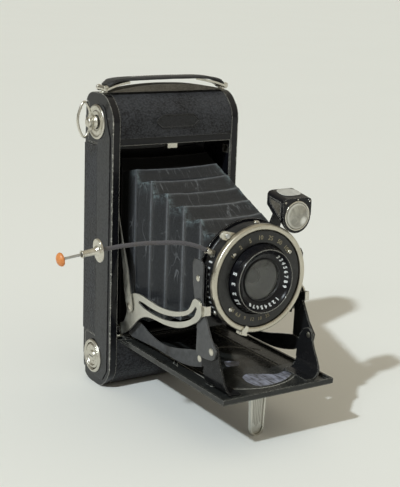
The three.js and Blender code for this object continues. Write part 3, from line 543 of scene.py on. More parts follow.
def lathe(name, profile, axis, centre, steps=96, shape=None):
    """A closed (radius, along) profile turned about an axis. shape scales the radius by angle."""
    rings = []
    for i in range(steps):
        angle = 2 * math.pi * i / steps
        scales = [shape(angle, r) if shape else 1.0 for r, _ in profile]
        rings.append([Vector(TURN[axis](r * scale, a, angle)) + Vector(centre)
                      for (r, a), scale in zip(profile, scales)])
    return skin(name, rings, closed=True)


def prism(name, outline, axis, low, high):
    """A closed outline carried along an axis. Outline is (y, z), (x, z) or (x, y)."""
    put = {
        "x": lambda a, b, c: (c, a, b),
        "y": lambda a, b, c: (a, c, b),
        "z": lambda a, b, c: (a, b, c),
    }[axis]
    return skin(name, [[put(a, b, c) for a, b in outline] for c in (low, high)])


def blend(first, second, low, high, u):
    """The point at u on a line that is at first when u is low, and at second when it is high."""
    return first * ((high - u) / (high - low)) + second * ((u - low) / (high - low))


def curve_points(control, per_span):
    """Centripetal Catmull-Rom line through the control points."""
    control = [Vector(p) for p in control]
    ends = [control[0] * 2 - control[1], *control, control[-1] * 2 - control[-2]]
    out = []
    for i in range(1, len(ends) - 2):
        p = ends[i - 1:i + 3]
        t = [0.0]
        for here, after in zip(p, p[1:]):
            t.append(t[-1] + max((after - here).length, 1e-6) ** 0.5)
        last = i == len(ends) - 3
        for k in range(per_span + (1 if last else 0)):
            u = t[1] + (t[2] - t[1]) * k / per_span
            a = [blend(p[j], p[j + 1], t[j], t[j + 1], u) for j in range(3)]
            b = [blend(a[j], a[j + 1], t[j], t[j + 2], u) for j in range(2)]
            out.append(blend(b[0], b[1], t[1], t[2], u))
    return out


def tube(name, path, radius, sides=16, closed=False):
    """A round wire along a path."""
    path = [Vector(p) for p in path]
    count = len(path)
    rings = []
    side = None
    for i, here in enumerate(path):
        if closed:
            along = (path[(i + 1) % count] - path[i - 1]).normalized()
        else:
            along = (path[min(i + 1, count - 1)] - path[max(i - 1, 0)]).normalized()
        if side is None:
            side = along.cross(Vector((0, 0, 1)) if abs(along.z) < 0.9 else Vector((0, 1, 0)))
        side = (side - along * side.dot(along)).normalized()
        other = along.cross(side)
        turns = [2 * math.pi * k / sides for k in range(sides)]
        rings.append([here + (side * math.cos(a) + other * math.sin(a)) * radius for a in turns])
    return skin(name, rings, closed)


def merged(name, *meshes):
    """Several meshes as one."""
    bm = bmesh.new()
    for mesh in meshes:
        bm.from_mesh(mesh)
    out = bpy.data.meshes.new(name)
    bm.to_mesh(out)
    bm.free()
    for mesh in meshes:
        bpy.data.meshes.remove(mesh)
    return out


def moved(mesh, matrix):
    mesh.transform(matrix)
    return mesh


# ---------------------------------------------------------------- cable release

CABLE_DIAMETER = 2.2
CABLE_ROUTE = [
    (-29.7, -96.4, 104.1), (-34.4, -96.0, 106.4), (-40.4, -95.0, 108.2), (-47.0, -94.0, 109.2),
    (-54.0, -93.0, 109.6), (-60.0, -92.2, 109.9), (-66.0, -91.4, 109.9), (-72.0, -90.8, 109.7),
    (-78.0, -90.3, 109.4), (-86.9, -90.0, 108.6),
]
RELEASE_AT = Vector((-88.0, -90.0, 108.5))
RELEASE_TILT = math.radians(6.5)


def release_turned(name, profile, steps=64, shape=None):
    turn = Matrix.Translation(RELEASE_AT * MM) @ Matrix.Rotation(-RELEASE_TILT, 4, "Y")
    return moved(lathe(name, profile, "x", (0, 0, 0), steps, shape), turn)


def make_release():
    path = curve_points(CABLE_ROUTE, 3)
    cable = place(tube("cable_release_cord", path, CABLE_DIAMETER / 2, 18), BRAID, "release",
                  ["release_cable"])
    oval = lambda angle, r: 1.0 - 0.10 * math.cos(2 * angle) * (r > 3)
    plate_profile = [
        (1.15, 0.5), (5.5, 0.5), (5.5, -0.6), (2.6, -0.7), (2.1, -1.8), (1.8, -2.2),
        (1.7, -8.6), (1.95, -8.8), (1.95, -9.5), (1.15, -9.5),
    ]
    plate = place(release_turned("thumb_rest", soften(plate_profile, 0.3), 72, oval), NICKEL, "release",
                  ["thumb_plate"])
    rod = soften([(0, -7.2), (0.68, -7.2), (0.68, -18.9)], 0.1, 2, False) + [(0, -18.9)]
    rod_piece = place(release_turned("plunger_rod", rod, 32), STEEL, "push_button")
    button_profile = soften([(0, -18.95), (1.3, -18.95), (1.5, -19.5), (3.1, -19.6), (3.6, -20.6),
                             (2.7, -21.9), (1.2, -22.5), (0, -22.6)], 0.5, 4, False)
    button = place(release_turned("plunger_button", button_profile, 48), ORANGE, "push_button",
                   ["plunger"])


make_release()


# ---------------------------------------------------------------- body

def make_body():
    for node, look, bevel in (
        ("front_leather_upper", COVER, 0.15), ("front_leather_lower", COVER, 0.15),
        ("side_leather_left", SIDE_COVER, 0.15), ("side_leather_right", SIDE_COVER, 0.15),
        ("back_leather", COVER, 0.15), ("back_door", ENAMEL, 0.3), ("back_hinge_pin", STEEL, 0.1),
        ("pressure_plate", BLACK, 0.1), ("red_window", RED_GLASS, 0.1), ("red_window_cover", NICKEL, 0.2),
        ("back_latch", NICKEL, 0.25), ("film_gate", BLACK, 0.15), ("film_roller_upper", NICKEL, 0.15),
        ("film_roller_lower", NICKEL, 0.15), ("take_up_spool", BLACK, 0.2), ("feed_spool", BLACK, 0.2),
        ("bed_catch", NICKEL, 0.3), ("bed_release_button", NICKEL, 0.5),
    ):
        dress(node, look, bevel)
    dress("body_shell", ENAMEL, 0.55, 3)


def make_lozenge():
    """A smooth raised panel, left blank, in the upper front leather."""
    corners = [(-14.5, 159), (-10.5, 162.6), (10.5, 162.6), (14.5, 159), (10.5, 155.4), (-10.5, 155.4)]
    outline = soften(corners, 1.2, 4)
    panel = prism("front_lozenge", outline, "y", -16.85, -16.5)
    border = tube("front_lozenge_border", [(x, -16.82, z) for x, z in outline], 0.36, 10, True)
    place(merged("front_lozenge_panel", panel, border), SMOOTH_COVER, "root")


def nickel_turned(name, profile, at, body, stands_for=(), rounding=0.3, steps=96, closed=True, shape=None):
    """A nickel part turned about an axis along X. Its profile is (radius, height above the side)."""
    y, z = at
    profile = [(r, SIDE_FACE - rise) for r, rise in profile]
    mesh = lathe(name, soften(profile, rounding, 3, closed), "x", (0, y, z), steps, shape)
    place(mesh, NICKEL, body, stands_for)


def make_key():
    y, z = at = (2.0, 157.7)
    plate = [(4, 0), (10, 0), (10, 0.8), (9.4, 1.25), (8.6, 1.25), (8.0, 0.75), (6.6, 0.7), (6.2, 0.95),
             (5.2, 0.95), (4.9, 0.65), (4, 0.65)]
    nickel_turned("key_plate", plate, at, "root", ["key_escutcheon"])
    stem = [(0, -6.1), (1.9, -6.1), (1.9, 1.2), (3.7, 1.2), (3.9, 1.8), (3.5, 2.4), (2.7, 2.9), (2.7, 3.5),
            (3.1, 4.0), (3.1, 5.6), (2.6, 6.5), (1.6, 6.8), (0, 6.8)]
    nickel_turned("key_hub", stem, at, "key", ["winding_key"], 0.35, 72, False)
    ears = []
    for a, b in ((2.2, 4.6), (-4.6, -2.2)):
        profile = soften([(0, a), (1.5, a), (1.5, b), (0, b)], 0.3, 3, False)
        ears.append(lathe("ear", profile, "z", (SIDE_FACE - 4.2, y, z), 32))
    place(merged("key_hinge", *ears), NICKEL, "key")
    loop = []
    for i in range(72):
        angle = 2 * math.pi * i / 72
        squared = 1 + 0.05 * math.cos(4 * angle)
        out, up = 4.0 * squared * math.cos(angle), 9.9 * 0.96 * squared * math.sin(angle)
        loop.append((SIDE_FACE - 8.1 + out, y, z + 1.6 + up))
    place(tube("key_loop", loop, 0.72, 14, True), NICKEL, "bail", ["key_bail"])


def make_feed_knob():
    y, z = at = (3.4, 16.6)
    rim = [(8, 0), (10.2, 0), (10.2, 0.7), (9.6, 1.3), (8.9, 1.3), (8, 0.8)]
    nickel_turned("knob_plate", rim, at, "root", ["feed_escutcheon"])
    knob = [(0, -6.1), (1.9, -6.1), (1.9, 0), (7.6, 0), (7.6, 0.6), (6.9, 1.2), (6.0, 1.2), (5.4, 0.4),
            (3.4, 0.4), (2.9, 1.4), (0, 1.4)]
    ribs = lambda angle, r: 1 + 0.012 * math.cos(36 * angle) * (r > 6.5)
    nickel_turned("knob_disc", knob, at, "knob", ["feed_knob"], 0.3, 144, False, ribs)
    slot = prism("knob_slot", rectangle(y, z, 5.0, 0.7), "x", SIDE_FACE - 1.46, SIDE_FACE - 1.3)
    place(slot, BLACK, "knob")


STRAP_LINE = [(-38.6, 178.7), (-35, 180.8), (-28, 181.7), (-20, 182.0), (-6, 182.3), (8, 182.4), (21, 182.3),
              (30, 181.6), (36, 180.2), (39.2, 178.3)]
LINING = [(-37, 175.4), (-30, 176.6), (-20, 177.9), (-8, 178.7), (4, 178.8), (16, 178.3), (27, 177.0),
          (37, 175.4)]
LINING_LOW = 174.95


def make_strap():
    """A stitched double strap, crowned across its width, on a nickel fitting at each end."""
    path = curve_points([(x, 0, z) for x, z in STRAP_LINE], 8)
    section = [(-5.4, -0.75), (5.4, -0.75), (5.4, 0.35), (2.6, 0.85), (-2.6, 0.85), (-5.4, 0.35)]
    rings, stitches = [], []
    for i, here in enumerate(path):
        along = (path[min(i + 1, len(path) - 1)] - path[max(i - 1, 0)]).normalized()
        up = along.cross(Vector((0, 1, 0)))
        end = min(i, len(path) - 1 - i)
        width = 1.0 if end > 3 else 0.80 + 0.05 * end
        thick = 1.0 + 0.25 * max(0, 1 - end / 12)
        ring = []
        for w, t in soften(section, 0.6, 4):
            bend = 0.14 * noise.noise(Vector((here.x * 0.12, w * 0.2, 3.0)))
            ring.append(here + Vector((0, w * width, 0)) + up * (t * thick + bend))
        rings.append(ring)
    place(skin("strap", rings, sharp=60), STRAP_LEATHER, "root", ["carrying_strap"])
    lower = curve_points([(x, 0, z) for x, z in LINING], 6)
    rings = [[(p.x, -5.2, LINING_LOW), (p.x, 5.2, LINING_LOW), (p.x, 5.2, p.z), (p.x, -5.2, p.z)]
             for p in lower]
    place(skin("strap_lining", rings), LINING_LEATHER, "root")
    for side in (-1, 1):
        for here, after in list(zip(path, path[1:]))[6:len(path) - 7]:
            along = (after - here).normalized()
            up = along.cross(Vector((0, 1, 0)))
            start = here + Vector((0, side * 4.3, 0)) + up * 0.66
            line = [start, start + along * 0.5 + up * 0.13, start + along * 0.9]
            stitches.append(tube("stitch", line, 0.16, 6))
    place(merged("strap_stitches", *stitches), STRAP_LEATHER, "root")
    for side, word in SIDES:
        post = [(0, 174.35), (2.6, 174.35), (2.6, 174.9), (1.5, 175.1), (1.5, 176.4), (0, 176.4)]
        stud = lathe("stud", soften(post, 0.2, 3, False), "z", (side * 39.4, 0, 0), 48)
        roller = [(0, -4.9), (1.75, -4.9), (1.75, -3.6), (1.45, -3.3), (1.45, 3.3), (1.75, 3.6), (1.75, 4.9),
                  (0, 4.9)]
        bar = lathe("bar", soften(roller, 0.35, 3, False), "y", (side * 40.2, 0, 177.1), 40)
        line = [(side * x, 0, z) for x, z in ((40.0, 176.6), (36.5, 177.9), (31, 179.5), (25.5, 180.4))]
        tongue = skin("tongue", [[here + Vector((0, w, t)) for w, t in rectangle(0, 0, 11.4, 1.2)]
                                 for here in curve_points(line, 6)])
        place(merged(f"strap_fitting_{word}", stud, bar, tongue), NICKEL, "root",
              [f"strap_loop_{word}"], 0.12)


make_body()
make_lozenge()
make_key()
make_feed_knob()
make_strap()


# ---------------------------------------------------------------- bellows

PLEAT = {"pitch": 14.4, "first_ridge": -17.9, "tall": 2.1, "wide": 1.9, "tip": 0.985}
BELLOWS_BACK = (33.0, 52.3, 10.9)          # half width, half height and place in Y
BELLOWS_FRONT = (19.5, 21.6, -89.9)
BELLOWS_WALL = 0.8
SIDE_POINTS = 22                   # points on each side of a ring


def fold_wave(y):
    """1 at a ridge of the top and bottom panels, -1 half a pleat further on."""
    phase = 2 * math.pi * (y - PLEAT["first_ridge"]) / PLEAT["pitch"]
    return math.asin(PLEAT["tip"] * math.cos(phase)) / math.asin(PLEAT["tip"])


def bellows_ring(y, inset):
    """Points round the bellows at one place in Y, each with its wear, its ridge and its share of painted
    shade, which falls on the part inside the body.

    Where the top and bottom panels stand out, the side panels draw in.
    """
    back, front = BELLOWS_BACK, BELLOWS_FRONT
    share = (back[2] - y) / (back[2] - front[2])
    half_x = back[0] + (front[0] - back[0]) * share
    half_z = back[1] + (front[1] - back[1]) * share
    ends = max(min(1.0, (back[2] - y) / 6.0, (y - front[2]) / 5.0), 0.0)
    wave = fold_wave(y) * ends
    ridge = max(0.0, (wave - 0.80) / 0.20)
    # Painted shade: 0 in front, rising to 1 behind y = -17.2, where the bellows run into the body.
    painted_shade = min(1.0, max(0.0, (y + 17.2) / 2.6))
    out = []
    corners = [(-1, 1), (1, 1), (1, -1), (-1, -1)]
    for index, (sx, sz) in enumerate(corners):
        ex, ez = corners[(index + 1) % 4]
        for k in range(SIDE_POINTS):
            t = k / SIDE_POINTS
            along = t * 2 - 1
            mid = 1 - along * along
            ux = sx + (ex - sx) * t
            uz = sz + (ez - sz) * t
            x = ux * (half_x - PLEAT["wide"] * wave)
            z = uz * (half_z + PLEAT["tall"] * wave * (1 - 0.18 * mid) - 0.7 * mid)
            corner = max(0.0, 1 - min(t, 1 - t) * (2 * half_x) / 3.2)
            wear = min(1.0, 0.25 * ridge + 0.9 * corner)
            rough = noise.noise(Vector((x * 0.16, y * 0.22, z * 0.16)))
            ripple = noise.noise(Vector((x * 0.5 + 9, y * 0.6, z * 0.35)))
            z += ((0.30 * rough + 0.16 * ripple) * ends - inset) * uz
            x -= inset * ux
            out.append(((x, y, AXIS_Z + z), (wear, ridge, painted_shade)))
    return out


def make_bellows():
    back, front = BELLOWS_BACK[2], BELLOWS_FRONT[2]
    steps = 112
    levels = [back + (front - back) * i / steps for i in range(steps + 1)]
    rings = [bellows_ring(y, 0.0) for y in levels] + [bellows_ring(y, BELLOWS_WALL) for y in reversed(levels)]
    count = len(rings[0])
    points = [p for ring in rings for p, _ in ring]
    faces = []
    for i in range(len(rings)):
        j = (i + 1) % len(rings)
        for k in range(count):
            m = (k + 1) % count
            faces.append((i * count + k, i * count + m, j * count + m, j * count + k))
    mesh = bpy.data.meshes.new("bellows_pleated")
    mesh.from_pydata([Vector(p) * MM for p in points], [], faces)
    for index, kind in enumerate(("wear", "ridge", "painted_shade")):
        layer = mesh.attributes.new(kind, "FLOAT", "POINT")
        layer.data.foreach_set("value", [values[index] for ring in rings for _, values in ring])
    bm = bmesh.new()
    bm.from_mesh(mesh)
    bmesh.ops.recalc_face_normals(bm, faces=bm.faces)
    bm.to_mesh(mesh)
    bm.free()
    mesh.shade_smooth()
    mesh.set_sharp_from_angle(angle=math.radians(70))
    obj = place(mesh, PLEATS, "root", ["bellows"])
    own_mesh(obj)


make_bellows()


# ---------------------------------------------------------------- bed and linkage

def rivet(name, at, side, radius, rise, body):
    """A domed nickel rivet head on a face square to X. side is -1 or 1."""
    x, y, z = at
    dome = [(0, 0), (radius, 0), (radius, rise * 0.35), (radius * 0.75, rise * 0.8), (radius * 0.35, rise),
            (0, rise)]
    profile = [(r, x + side * a) for r, a in soften(dome, radius * 0.2, 3, False)]
    place(lathe(name, profile, "x", (0, y, z), 32), NICKEL, body)


# Painted reflections: outlines, in X and Y, of pale patches on the bed floor that stand for the bright
# backdrop seen in its gloss.
BED_PAINTED_REFLECTIONS = [
    [(-6.0, -100.5), (-1.0, -97.5), (5.5, -101.0), (13.5, -105.5), (22.0, -103.0), (23.5, -107.5),
     (16.0, -113.5), (5.0, -118.6), (-1.5, -118.6), (-6.5, -114.5), (-7.5, -107.0)],
    [(-1.5, -75.5), (3.0, -77.0), (7.0, -79.5), (2.5, -85.5), (-4.5, -83.5)],
]


def trimmed(mesh, half_width):
    """Cuts a mesh off square at both sides, and closes it."""
    bm = bmesh.new()
    bm.from_mesh(mesh)
    for sign in (-1, 1):
        bmesh.ops.bisect_plane(bm, geom=bm.verts[:] + bm.edges[:] + bm.faces[:], clear_outer=True,
                               plane_co=(sign * half_width * MM, 0, 0), plane_no=(sign, 0, 0))
        bmesh.ops.holes_fill(bm, edges=[e for e in bm.edges if e.is_boundary])
    bm.to_mesh(mesh)
    bm.free()
    return mesh


def make_bed():
    dress("bed", BED_ENAMEL, 0.35, 3)
    dress("bed_hinge_pin", NICKEL, 0.2)
    dress("bed_leather", COVER, 0.1)
    dress("bed_foot", NICKEL_ARM, 0.2, 2)
    top = BED_TOP
    dish = [(31.6, 31.82), (32.2, 32.05), (33.4, 32.1), (34.2, 31.82), (34.2, top), (31.6, top)]
    ring = trimmed(lathe("bed_dish", soften(dish, 0.3), "z", (0, -85.0, 0), 128), 28.5)
    place(ring, BED_ENAMEL, "bed")
    for side, word in SIDES:
        half = [(1.7, top - 0.02), (1.1, 31.98), (0.4, 32.1)]
        x = side * 23.4
        section = [(x - w, z) for w, z in half] + [(x + w, z) for w, z in reversed(half)]
        rib = prism(f"bed_rib_{word}", section, "y", -94.0, -28.0)
        place(rib, BED_ENAMEL, "bed")
    # Painted reflections laid just above the bed floor.
    for index, patch in enumerate(BED_PAINTED_REFLECTIONS):
        mesh = prism(f"bed_painted_reflection_{index}", soften(patch, 2.0, 4), "z", top, top + 0.06)
        place(mesh, BED_REFLECTION_LOOK, "bed")
    half = [(3.95, 25.5), (3.3, 4.4), (2.4, 2.2), (1.0, 1.2)]
    floor = [(-x, z) for x, z in half] + list(reversed(half))
    grooves = [tube("groove", [(x, -107.9, 24.5), (x * 0.9, -107.9, 5.0 + abs(x))], 0.28, 10)
               for x in (-2.4, -1.2, 0.0, 1.2, 2.4)]
    channel = prism("foot_floor", floor, "y", -107.85, -107.55)
    place(merged("foot_channel", channel, *grooves), NICKEL_DARK, "foot")


def make_linkage():
    for side, word in SIDES:
        # Painted light: on the left, which faces the lamp, the bracket's rear and the leg are painted grey;
        # on the right they are gloss black.
        dress(f"bed_bracket_{word}", BRACKET_LEFT if side < 0 else GLOSS_BLACK, 0.3, 3)
        dress(f"leg_{word}", LIT_GREY if side < 0 else GLOSS_BLACK, 0.3, 3)
        dress(f"lock_arm_{word}", NICKEL_ARM, 0.18, 2)
        dress(f"strut_{word}", NICKEL_ARM, 0.15, 2)
        block = [(-98.3, 69.3), (-99.8, 69.0), (-104.7, 71.4), (-104.5, 76.2), (-99.1, 75.1), (-98.3, 74.6)]
        cheek = prism("cheek", soften(block, 0.5), "x", *sorted((side * 32.72, side * 33.1)))
        edge = [(-104.72, 71.3), (-105.0, 71.3), (-104.8, 76.2), (-104.52, 76.2)]
        front = prism("front", edge, "x", *sorted((side * 30.6, side * 33.1)))
        place(merged(f"slot_plate_{word}", cheek, front), NICKEL, "legs")
        for name, x, y, z, facing, radius, rise, body in (
            ("leg_foot_rivet", 32.4, -109.6, 53.2, 1, 2.0, 0.5, "legs"),
            ("leg_top_rivet", 32.4, -94.6, 88.8, 1, 1.7, 0.5, "legs"),
            ("stay_rivet", 30.9, -96.4, 45.1, 1, 1.9, 0.22, "bed"),
            ("bracket_screw", 29.95, -110.2, 53.4, -1, 1.7, 0.22, "bed"),
            ("arm_pivot_rivet", 32.95, -12.6, 37.5, -1, 1.9, 0.4, "root"),
            ("strut_rivet", 35.2, -26.8, 54.6, 1, 1.6, 0.45, "struts"),
            ("strut_ring", 35.2, -26.8, 54.6, 1, 2.5, 0.18, "struts"),
        ):
            rivet(f"{name}_{word}", (side * x, y, z), side * facing, radius, rise, body)


make_bed()
make_linkage()


# ---------------------------------------------------------------- lens standard, shutter and lens

def figure(text, size, height, matrix, weight):
    """A figure on a dial, as a thin raised mesh."""
    data = bpy.data.curves.new("figure", "FONT")
    data.body = text
    data.size = size * MM
    data.extrude = height * MM / 2
    data.offset = weight * MM
    data.align_x = "CENTER"
    data.align_y = "CENTER"
    data.resolution_u = 3
    holder = add_object("figure_text", data)
    bpy.context.view_layer.update()
    mesh = bpy.data.meshes.new_from_object(holder.evaluated_get(bpy.context.evaluated_depsgraph_get()))
    bpy.data.objects.remove(holder)
    mesh.transform(matrix)
    return mesh


def dial_matrix(angle, radius, y, lean=0.0, outward=True):
    """Stands a figure on a face that looks along -Y, at an angle anticlockwise from the right."""
    spin = angle - math.pi / 2 if outward else angle + math.pi / 2
    face = Matrix.Rotation(math.pi / 2, 4, "X")
    tilt = Matrix.Rotation(lean, 4, "X")
    position = Vector((radius * math.cos(angle), y, AXIS_Z + radius * math.sin(angle))) * MM
    return Matrix.Translation(position) @ Matrix.Rotation(-spin, 4, "Y") @ face @ tilt


def figure_row(texts, start, step, size, height, radius, y, lean=0, outward=True, weight=0.0):
    """Figures round the lens axis. Angles are in degrees, and step is from each figure to the next."""
    return [
        figure(text, size, height, dial_matrix(math.radians(start + i * step), radius, y,
                                               math.radians(lean), outward), weight)
        for i, text in enumerate(texts)
    ]


def screw(name, at, radius, body, turn):
    """A slotted nickel screw head on a face that looks along -Y."""
    x, y, z = at
    head = [(0, y), (radius, y), (radius, y - 0.25), (radius * 0.8, y - 0.5), (0, y - 0.55)]
    place(lathe(name, soften(head, 0.12, 2, False), "y", (x, 0, z), 32), NICKEL, body)
    c, s = math.cos(turn), math.sin(turn)
    outline = [(x + a * c - b * s, z + a * s + b * c) for a, b in rectangle(0, 0, radius * 1.64, 0.24)]
    place(prism(name + "_slot", outline, "y", y - 0.6, y - 0.4), BLACK, body)


def lens_turned(name, profile, rounding, steps, look, body, stands_for=()):
    """A part turned about the lens axis. Its profile is (radius, y)."""
    mesh = lathe(name, soften(profile, rounding), "y", (0, 0, AXIS_Z), steps)
    place(mesh, look, body, stands_for)


def domed(radius, back, edge, crown, steps):
    """Profile of a lens: flat at back, and bulging by crown in front of edge. Both are places in Y."""
    front = []
    for i in range(1, steps + 1):
        share = 1 - i / steps
        front.append((radius * share, edge - crown * (1 - share ** 2)))
    return [(0, back), (radius, back), (radius, edge)] + front


def make_standard():
    dress("lens_standard", ENAMEL_CLEAN, 0.25, 2)
    dress("shutter_blades", BLACK, 0.05)
    dress("cable_socket", NICKEL, 0.3)
    dress("rear_lens", REAR_GLASS)
    dress("aperture_lever", NICKEL, 0.3)
    case = [(13, -91.8), (28.6, -91.8), (28.6, -93.2), (28.2, -93.6), (28.2, -99.4), (28.6, -99.8),
            (28.6, -101.2), (13, -101.2)]
    lens_turned("shutter_case", case, 0.35, 144, BLACK, "standard", ["shutter_housing"])
    rim = [(26.4, -101.5), (29.5, -101.5), (29.5, -103.9), (29.1, -104.5), (28.5, -104.62),
           (27.2, -104.62), (26.6, -104.3), (26.4, -103.9)]
    lens_turned("speed_rim", rim, 0.25, 180, NICKEL_RING, "speed", ["speed_ring"])
    face = [(19.1, -101.5), (26.1, -101.5), (26.1, -103.5), (25.8, -103.7), (19.5, -103.7), (19.1, -103.4)]
    lens_turned("shutter_dial", face, 0.2, 144, FACE, "standard", ["shutter_face"])
    cone = [(11.6, -101.5), (18.8, -101.5), (18.8, -103.9), (18.6, -104.6), (17.5, -109.2), (17.1, -109.9),
            (16.7, -110.0), (16.2, -109.5), (15.5, -108.5), (14.4, -107.5), (13.0, -106.75), (12.0, -106.4),
            (11.6, -106.3)]
    lens_turned("focus_cone", cone, 0.3, 180, FUNNEL, "focus", ["focus_ring"])
    bead = [(16.75, -109.85), (17.15, -109.8), (17.25, -109.95), (17.1, -110.12), (16.85, -110.12)]
    lens_turned("focus_bead", bead, 0.1, 160, GLOSS_BLACK, "focus")
    seat = [(10.7, -105.9), (11.5, -106.0), (11.6, -106.5), (11.3, -106.9), (10.9, -106.9), (10.7, -106.6)]
    lens_turned("lens_seat", seat, 0.15, 120, BLACK, "focus")
    glass = lathe("lens_front_glass", domed(11.1, -103.4, -106.0, 1.4, 14), "y", (0, 0, AXIS_Z), 96)
    place(glass, LENS_GLASS, "focus", ["front_lens"])


def make_release_lever():
    dress("release_lever", NICKEL, 0.3, 3)
    stud = [(0, -101.4), (1.5, -101.4), (1.5, -101.9), (1.2, -102.2), (0, -102.3)]
    mesh = lathe("release_stud", soften(stud, 0.2, 3, False), "y", (-19.6, 0, AXIS_Z + 24.5), 40)
    place(mesh, STEEL, "trigger")
    for name, x, up, y, radius in (
        ("case_stud", -23.5, -17.4, -98.0, 1.3),
        ("case_screw", 1.0, 29.0, -97.2, 1.8),
    ):
        outward = Vector((x, 0, up)).normalized()
        dome = [(0, 0), (radius, 0), (radius, 1.1), (radius * 0.7, 1.5), (0, 1.55)]
        head = lathe(name, soften(dome, 0.3, 3, False), "z", (0, 0, 0), 32)
        turn = Vector((0, 0, 1)).rotation_difference(outward).to_matrix().to_4x4()
        position = (Vector((0, y, AXIS_Z)) + outward * 28.4) * MM
        place(moved(head, Matrix.Translation(position) @ turn), NICKEL, "standard")


def make_dial_marks():
    """Generic exposure figures on the face, distance figures on the focusing ring, and ticks."""
    face = -103.74
    figures = figure_row(("1", "2", "5", "10", "25", "50", "100"), 142, -17, 3.3, 0.16, 22.2, face)
    figures += figure_row(("4.5", "6.3", "9", "12", "18", "25"), 222, 13, 2.7, 0.16, 22.2, face, 0, False)
    place(merged("dial_figures", *figures), BUFF_INK, "standard")
    marks = figure_row(("1.5", "2", "3", "5"), 214, -17, 3.3, 0.16, 18.2, -106.6, -76, True, 0.12)
    marks += figure_row("23456789", 54, -10.5, 2.7, 0.2, 14.5, -107.85, 38, True, 0.1)
    marks += figure_row("12345678", -50, -10.5, 2.7, 0.2, 14.5, -107.85, 38, True, 0.1)
    place(merged("focus_figures", *marks), WHITE_INK, "focus")
    ticks = []
    for i in range(11):
        angle = math.radians(152 + i * 6.5)
        tick = prism("tick", rectangle(0, 0, 0.9, 3.0 if i % 2 else 2.0), "z", -0.07, 0.07)
        spin = Matrix.Rotation(-(angle - math.pi / 2), 4, "Y")
        position = Vector((28.27 * math.cos(angle), -96.6, AXIS_Z + 28.27 * math.sin(angle))) * MM
        ticks.append(moved(tick, Matrix.Translation(position) @ spin))
    place(merged("case_ticks", *ticks), WHITE_INK, "standard")


def make_screws():
    for name, at, radius, body, turn in (
        ("dial_screw_left", (-16.4, -103.7, 101.6), 1.1, "standard", 0.5),
        ("dial_screw_right", (19.2, -103.7, 99.6), 1.1, "standard", 2.2),
        ("dial_screw_low", (-17.6, -103.7, 72.2), 1.1, "standard", 1.2),
        ("finder_screw_left", (12.6, -106.6, 127.2), 0.6, "finder", 0.4),
        ("finder_screw_middle", (20.4, -106.6, 128.4), 0.5, "finder", 1.1),
        ("finder_screw_right", (28.2, -106.6, 127.2), 0.6, "finder", 1.9),
    ):
        screw(name, at, radius, body, turn)


make_standard()
make_release_lever()
make_dial_marks()
make_screws()


# ---------------------------------------------------------------- finder

def make_finder():
    dress("finder_housing", ENAMEL_CLEAN, 0.45, 3)
    dress("finder_top_lens", FINDER_TOP_PAINTED_LIGHT, 0.15, 2)
    (x, z), radius, front = (FINDER_LENS[key] for key in ("centre", "radius", "front"))
    rim = [(7.1, 0.05), (8.0, 0.05), (8.0, 0.35), (7.7, 0.6), (7.3, 0.6), (7.1, 0.3)]
    rim = soften([(r, front - rise) for r, rise in rim], 0.15)
    place(lathe("finder_rim", rim, "y", (x, 0, z), 96), NICKEL, "finder")
    glass = lathe("finder_glass", domed(radius, front - 0.1, front - 0.4, 2.2, 12), "y", (x, 0, z), 72)
    place(glass, FINDER_GLASS, "finder", ["finder_front_lens"])
    window = [(-104.6, 127.2), (-94.2, 128.6), (-94.2, 125.6), (-104.6, 117.6)]
    pane = [(-103.7, 126.2), (-95.1, 127.4), (-95.1, 126.0), (-103.7, 119.4)]
    for side, word in SIDES:
        low, high = sorted((x + side * 9.14, x + side * 9.3))
        panel = prism(f"finder_panel_{word}", soften(pane, 0.6), "x", low, high)
        place(panel, PANEL, "finder")
        raised = side * 0.06
        rings = [(low + raised, window), (high + raised, window), (high + raised, pane), (low + raised, pane)]
        border = skin(f"finder_border_{word}", [[(px, a, b) for a, b in ring] for px, ring in rings], True)
        place(border, ENAMEL_CLEAN, "finder")


make_finder()


# ---------------------------------------------------------------- floor and light

FLOOR_HALF = 30.0                  # metres
TOWARD_LIGHT = Vector((-0.975, -0.382, 1.0)).normalized()
SUN = {"energy": 1.95, "color": (0.86, 0.96, 1.0), "angle": math.radians(2.2)}
SOFTBOX = {"energy": 1.0, "color": (0.93, 0.94, 1.0), "shape": "SQUARE", "size": 0.2}
SOFTBOX_AT = Vector((0.0, -0.05, 0.09)) + TOWARD_LIGHT * 1.1
SKY = {"low": (0.30, 0.29, 0.26, 1), "high": (0.60, 0.56, 0.45, 1), "bright_side": (0.85, -0.53, 0.0)}
BACKDROP = (0.68, 0.69, 0.65, 1)


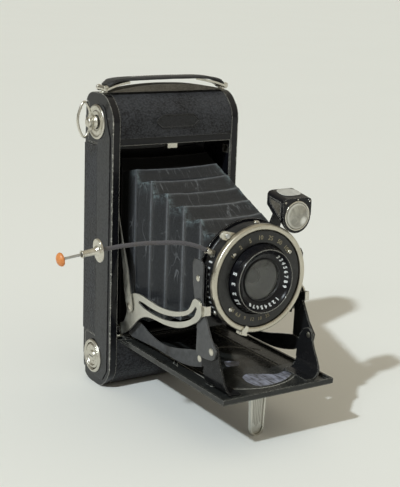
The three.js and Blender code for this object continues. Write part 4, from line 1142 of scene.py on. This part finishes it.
def make_stage():
    corners = [(-1, -1, 0), (1, -1, 0), (1, 1, 0), (-1, 1, 0)]
    mesh = bpy.data.meshes.new("floor")
    mesh.from_pydata([Vector(p) * FLOOR_HALF for p in corners], [], [(0, 1, 2, 3)])
    floor = add_object("floor", mesh)
    look = Look("floor_paper", (0.88, 0.878, 0.852), 0.9, Specular_IOR_Level=0.15)
    look.use("Base Color", look.mix(look.noise(3.0, 2), (0.870, 0.868, 0.842), (0.890, 0.888, 0.862)))
    mesh.materials.append(look.material)


def make_lamp(name, kind, settings, location=(0, 0, 0)):
    data = bpy.data.lights.new(name, kind)
    for key, value in settings.items():
        setattr(data, key, value)
    lamp = add_object(name, data)
    lamp.location = location
    lamp.rotation_euler = TOWARD_LIGHT.to_track_quat("Z", "Y").to_euler()


def make_light():
    """A sun and a softbox high on the left, under a sky that is brighter on the right and in front."""
    scene = bpy.context.scene
    scene.view_settings.view_transform = "Standard"
    world = bpy.data.worlds.new("studio")
    scene.world = world
    sky = Nodes(world)
    direction = sky.node("TexCoord").outputs["Generated"]
    ramp = sky.node("ValToRGB", {0: sky.node("SeparateXYZ", {0: direction}).outputs["Z"]})
    for stop, position, color in zip(ramp.color_ramp.elements, (0.0, 0.75), (SKY["low"], SKY["high"])):
        stop.position = position
        stop.color = color
    sideways = sky.node("VectorMath", {0: direction, 1: SKY["bright_side"]}, operation="DOT_PRODUCT")
    share = sky.node("MapRange", {0: sideways.outputs["Value"], 1: -1.0, 2: 1.0, 3: 0.42, 4: 1.18})
    shaded = sky.node("VectorMath", {0: ramp.outputs[0], "Scale": share.outputs[0]}, operation="SCALE")
    seen = sky.node("LightPath").outputs["Is Camera Ray"]
    mix = sky.node("Mix", {"Factor": seen, 6: shaded.outputs[0], 7: BACKDROP}, data_type="RGBA")
    sky.tree.links.new(mix.outputs[2], sky.tree.nodes["Background"].inputs["Color"])
    make_lamp("key", "SUN", SUN)
    make_lamp("softbox", "AREA", SOFTBOX, SOFTBOX_AT)


make_stage()
make_light()
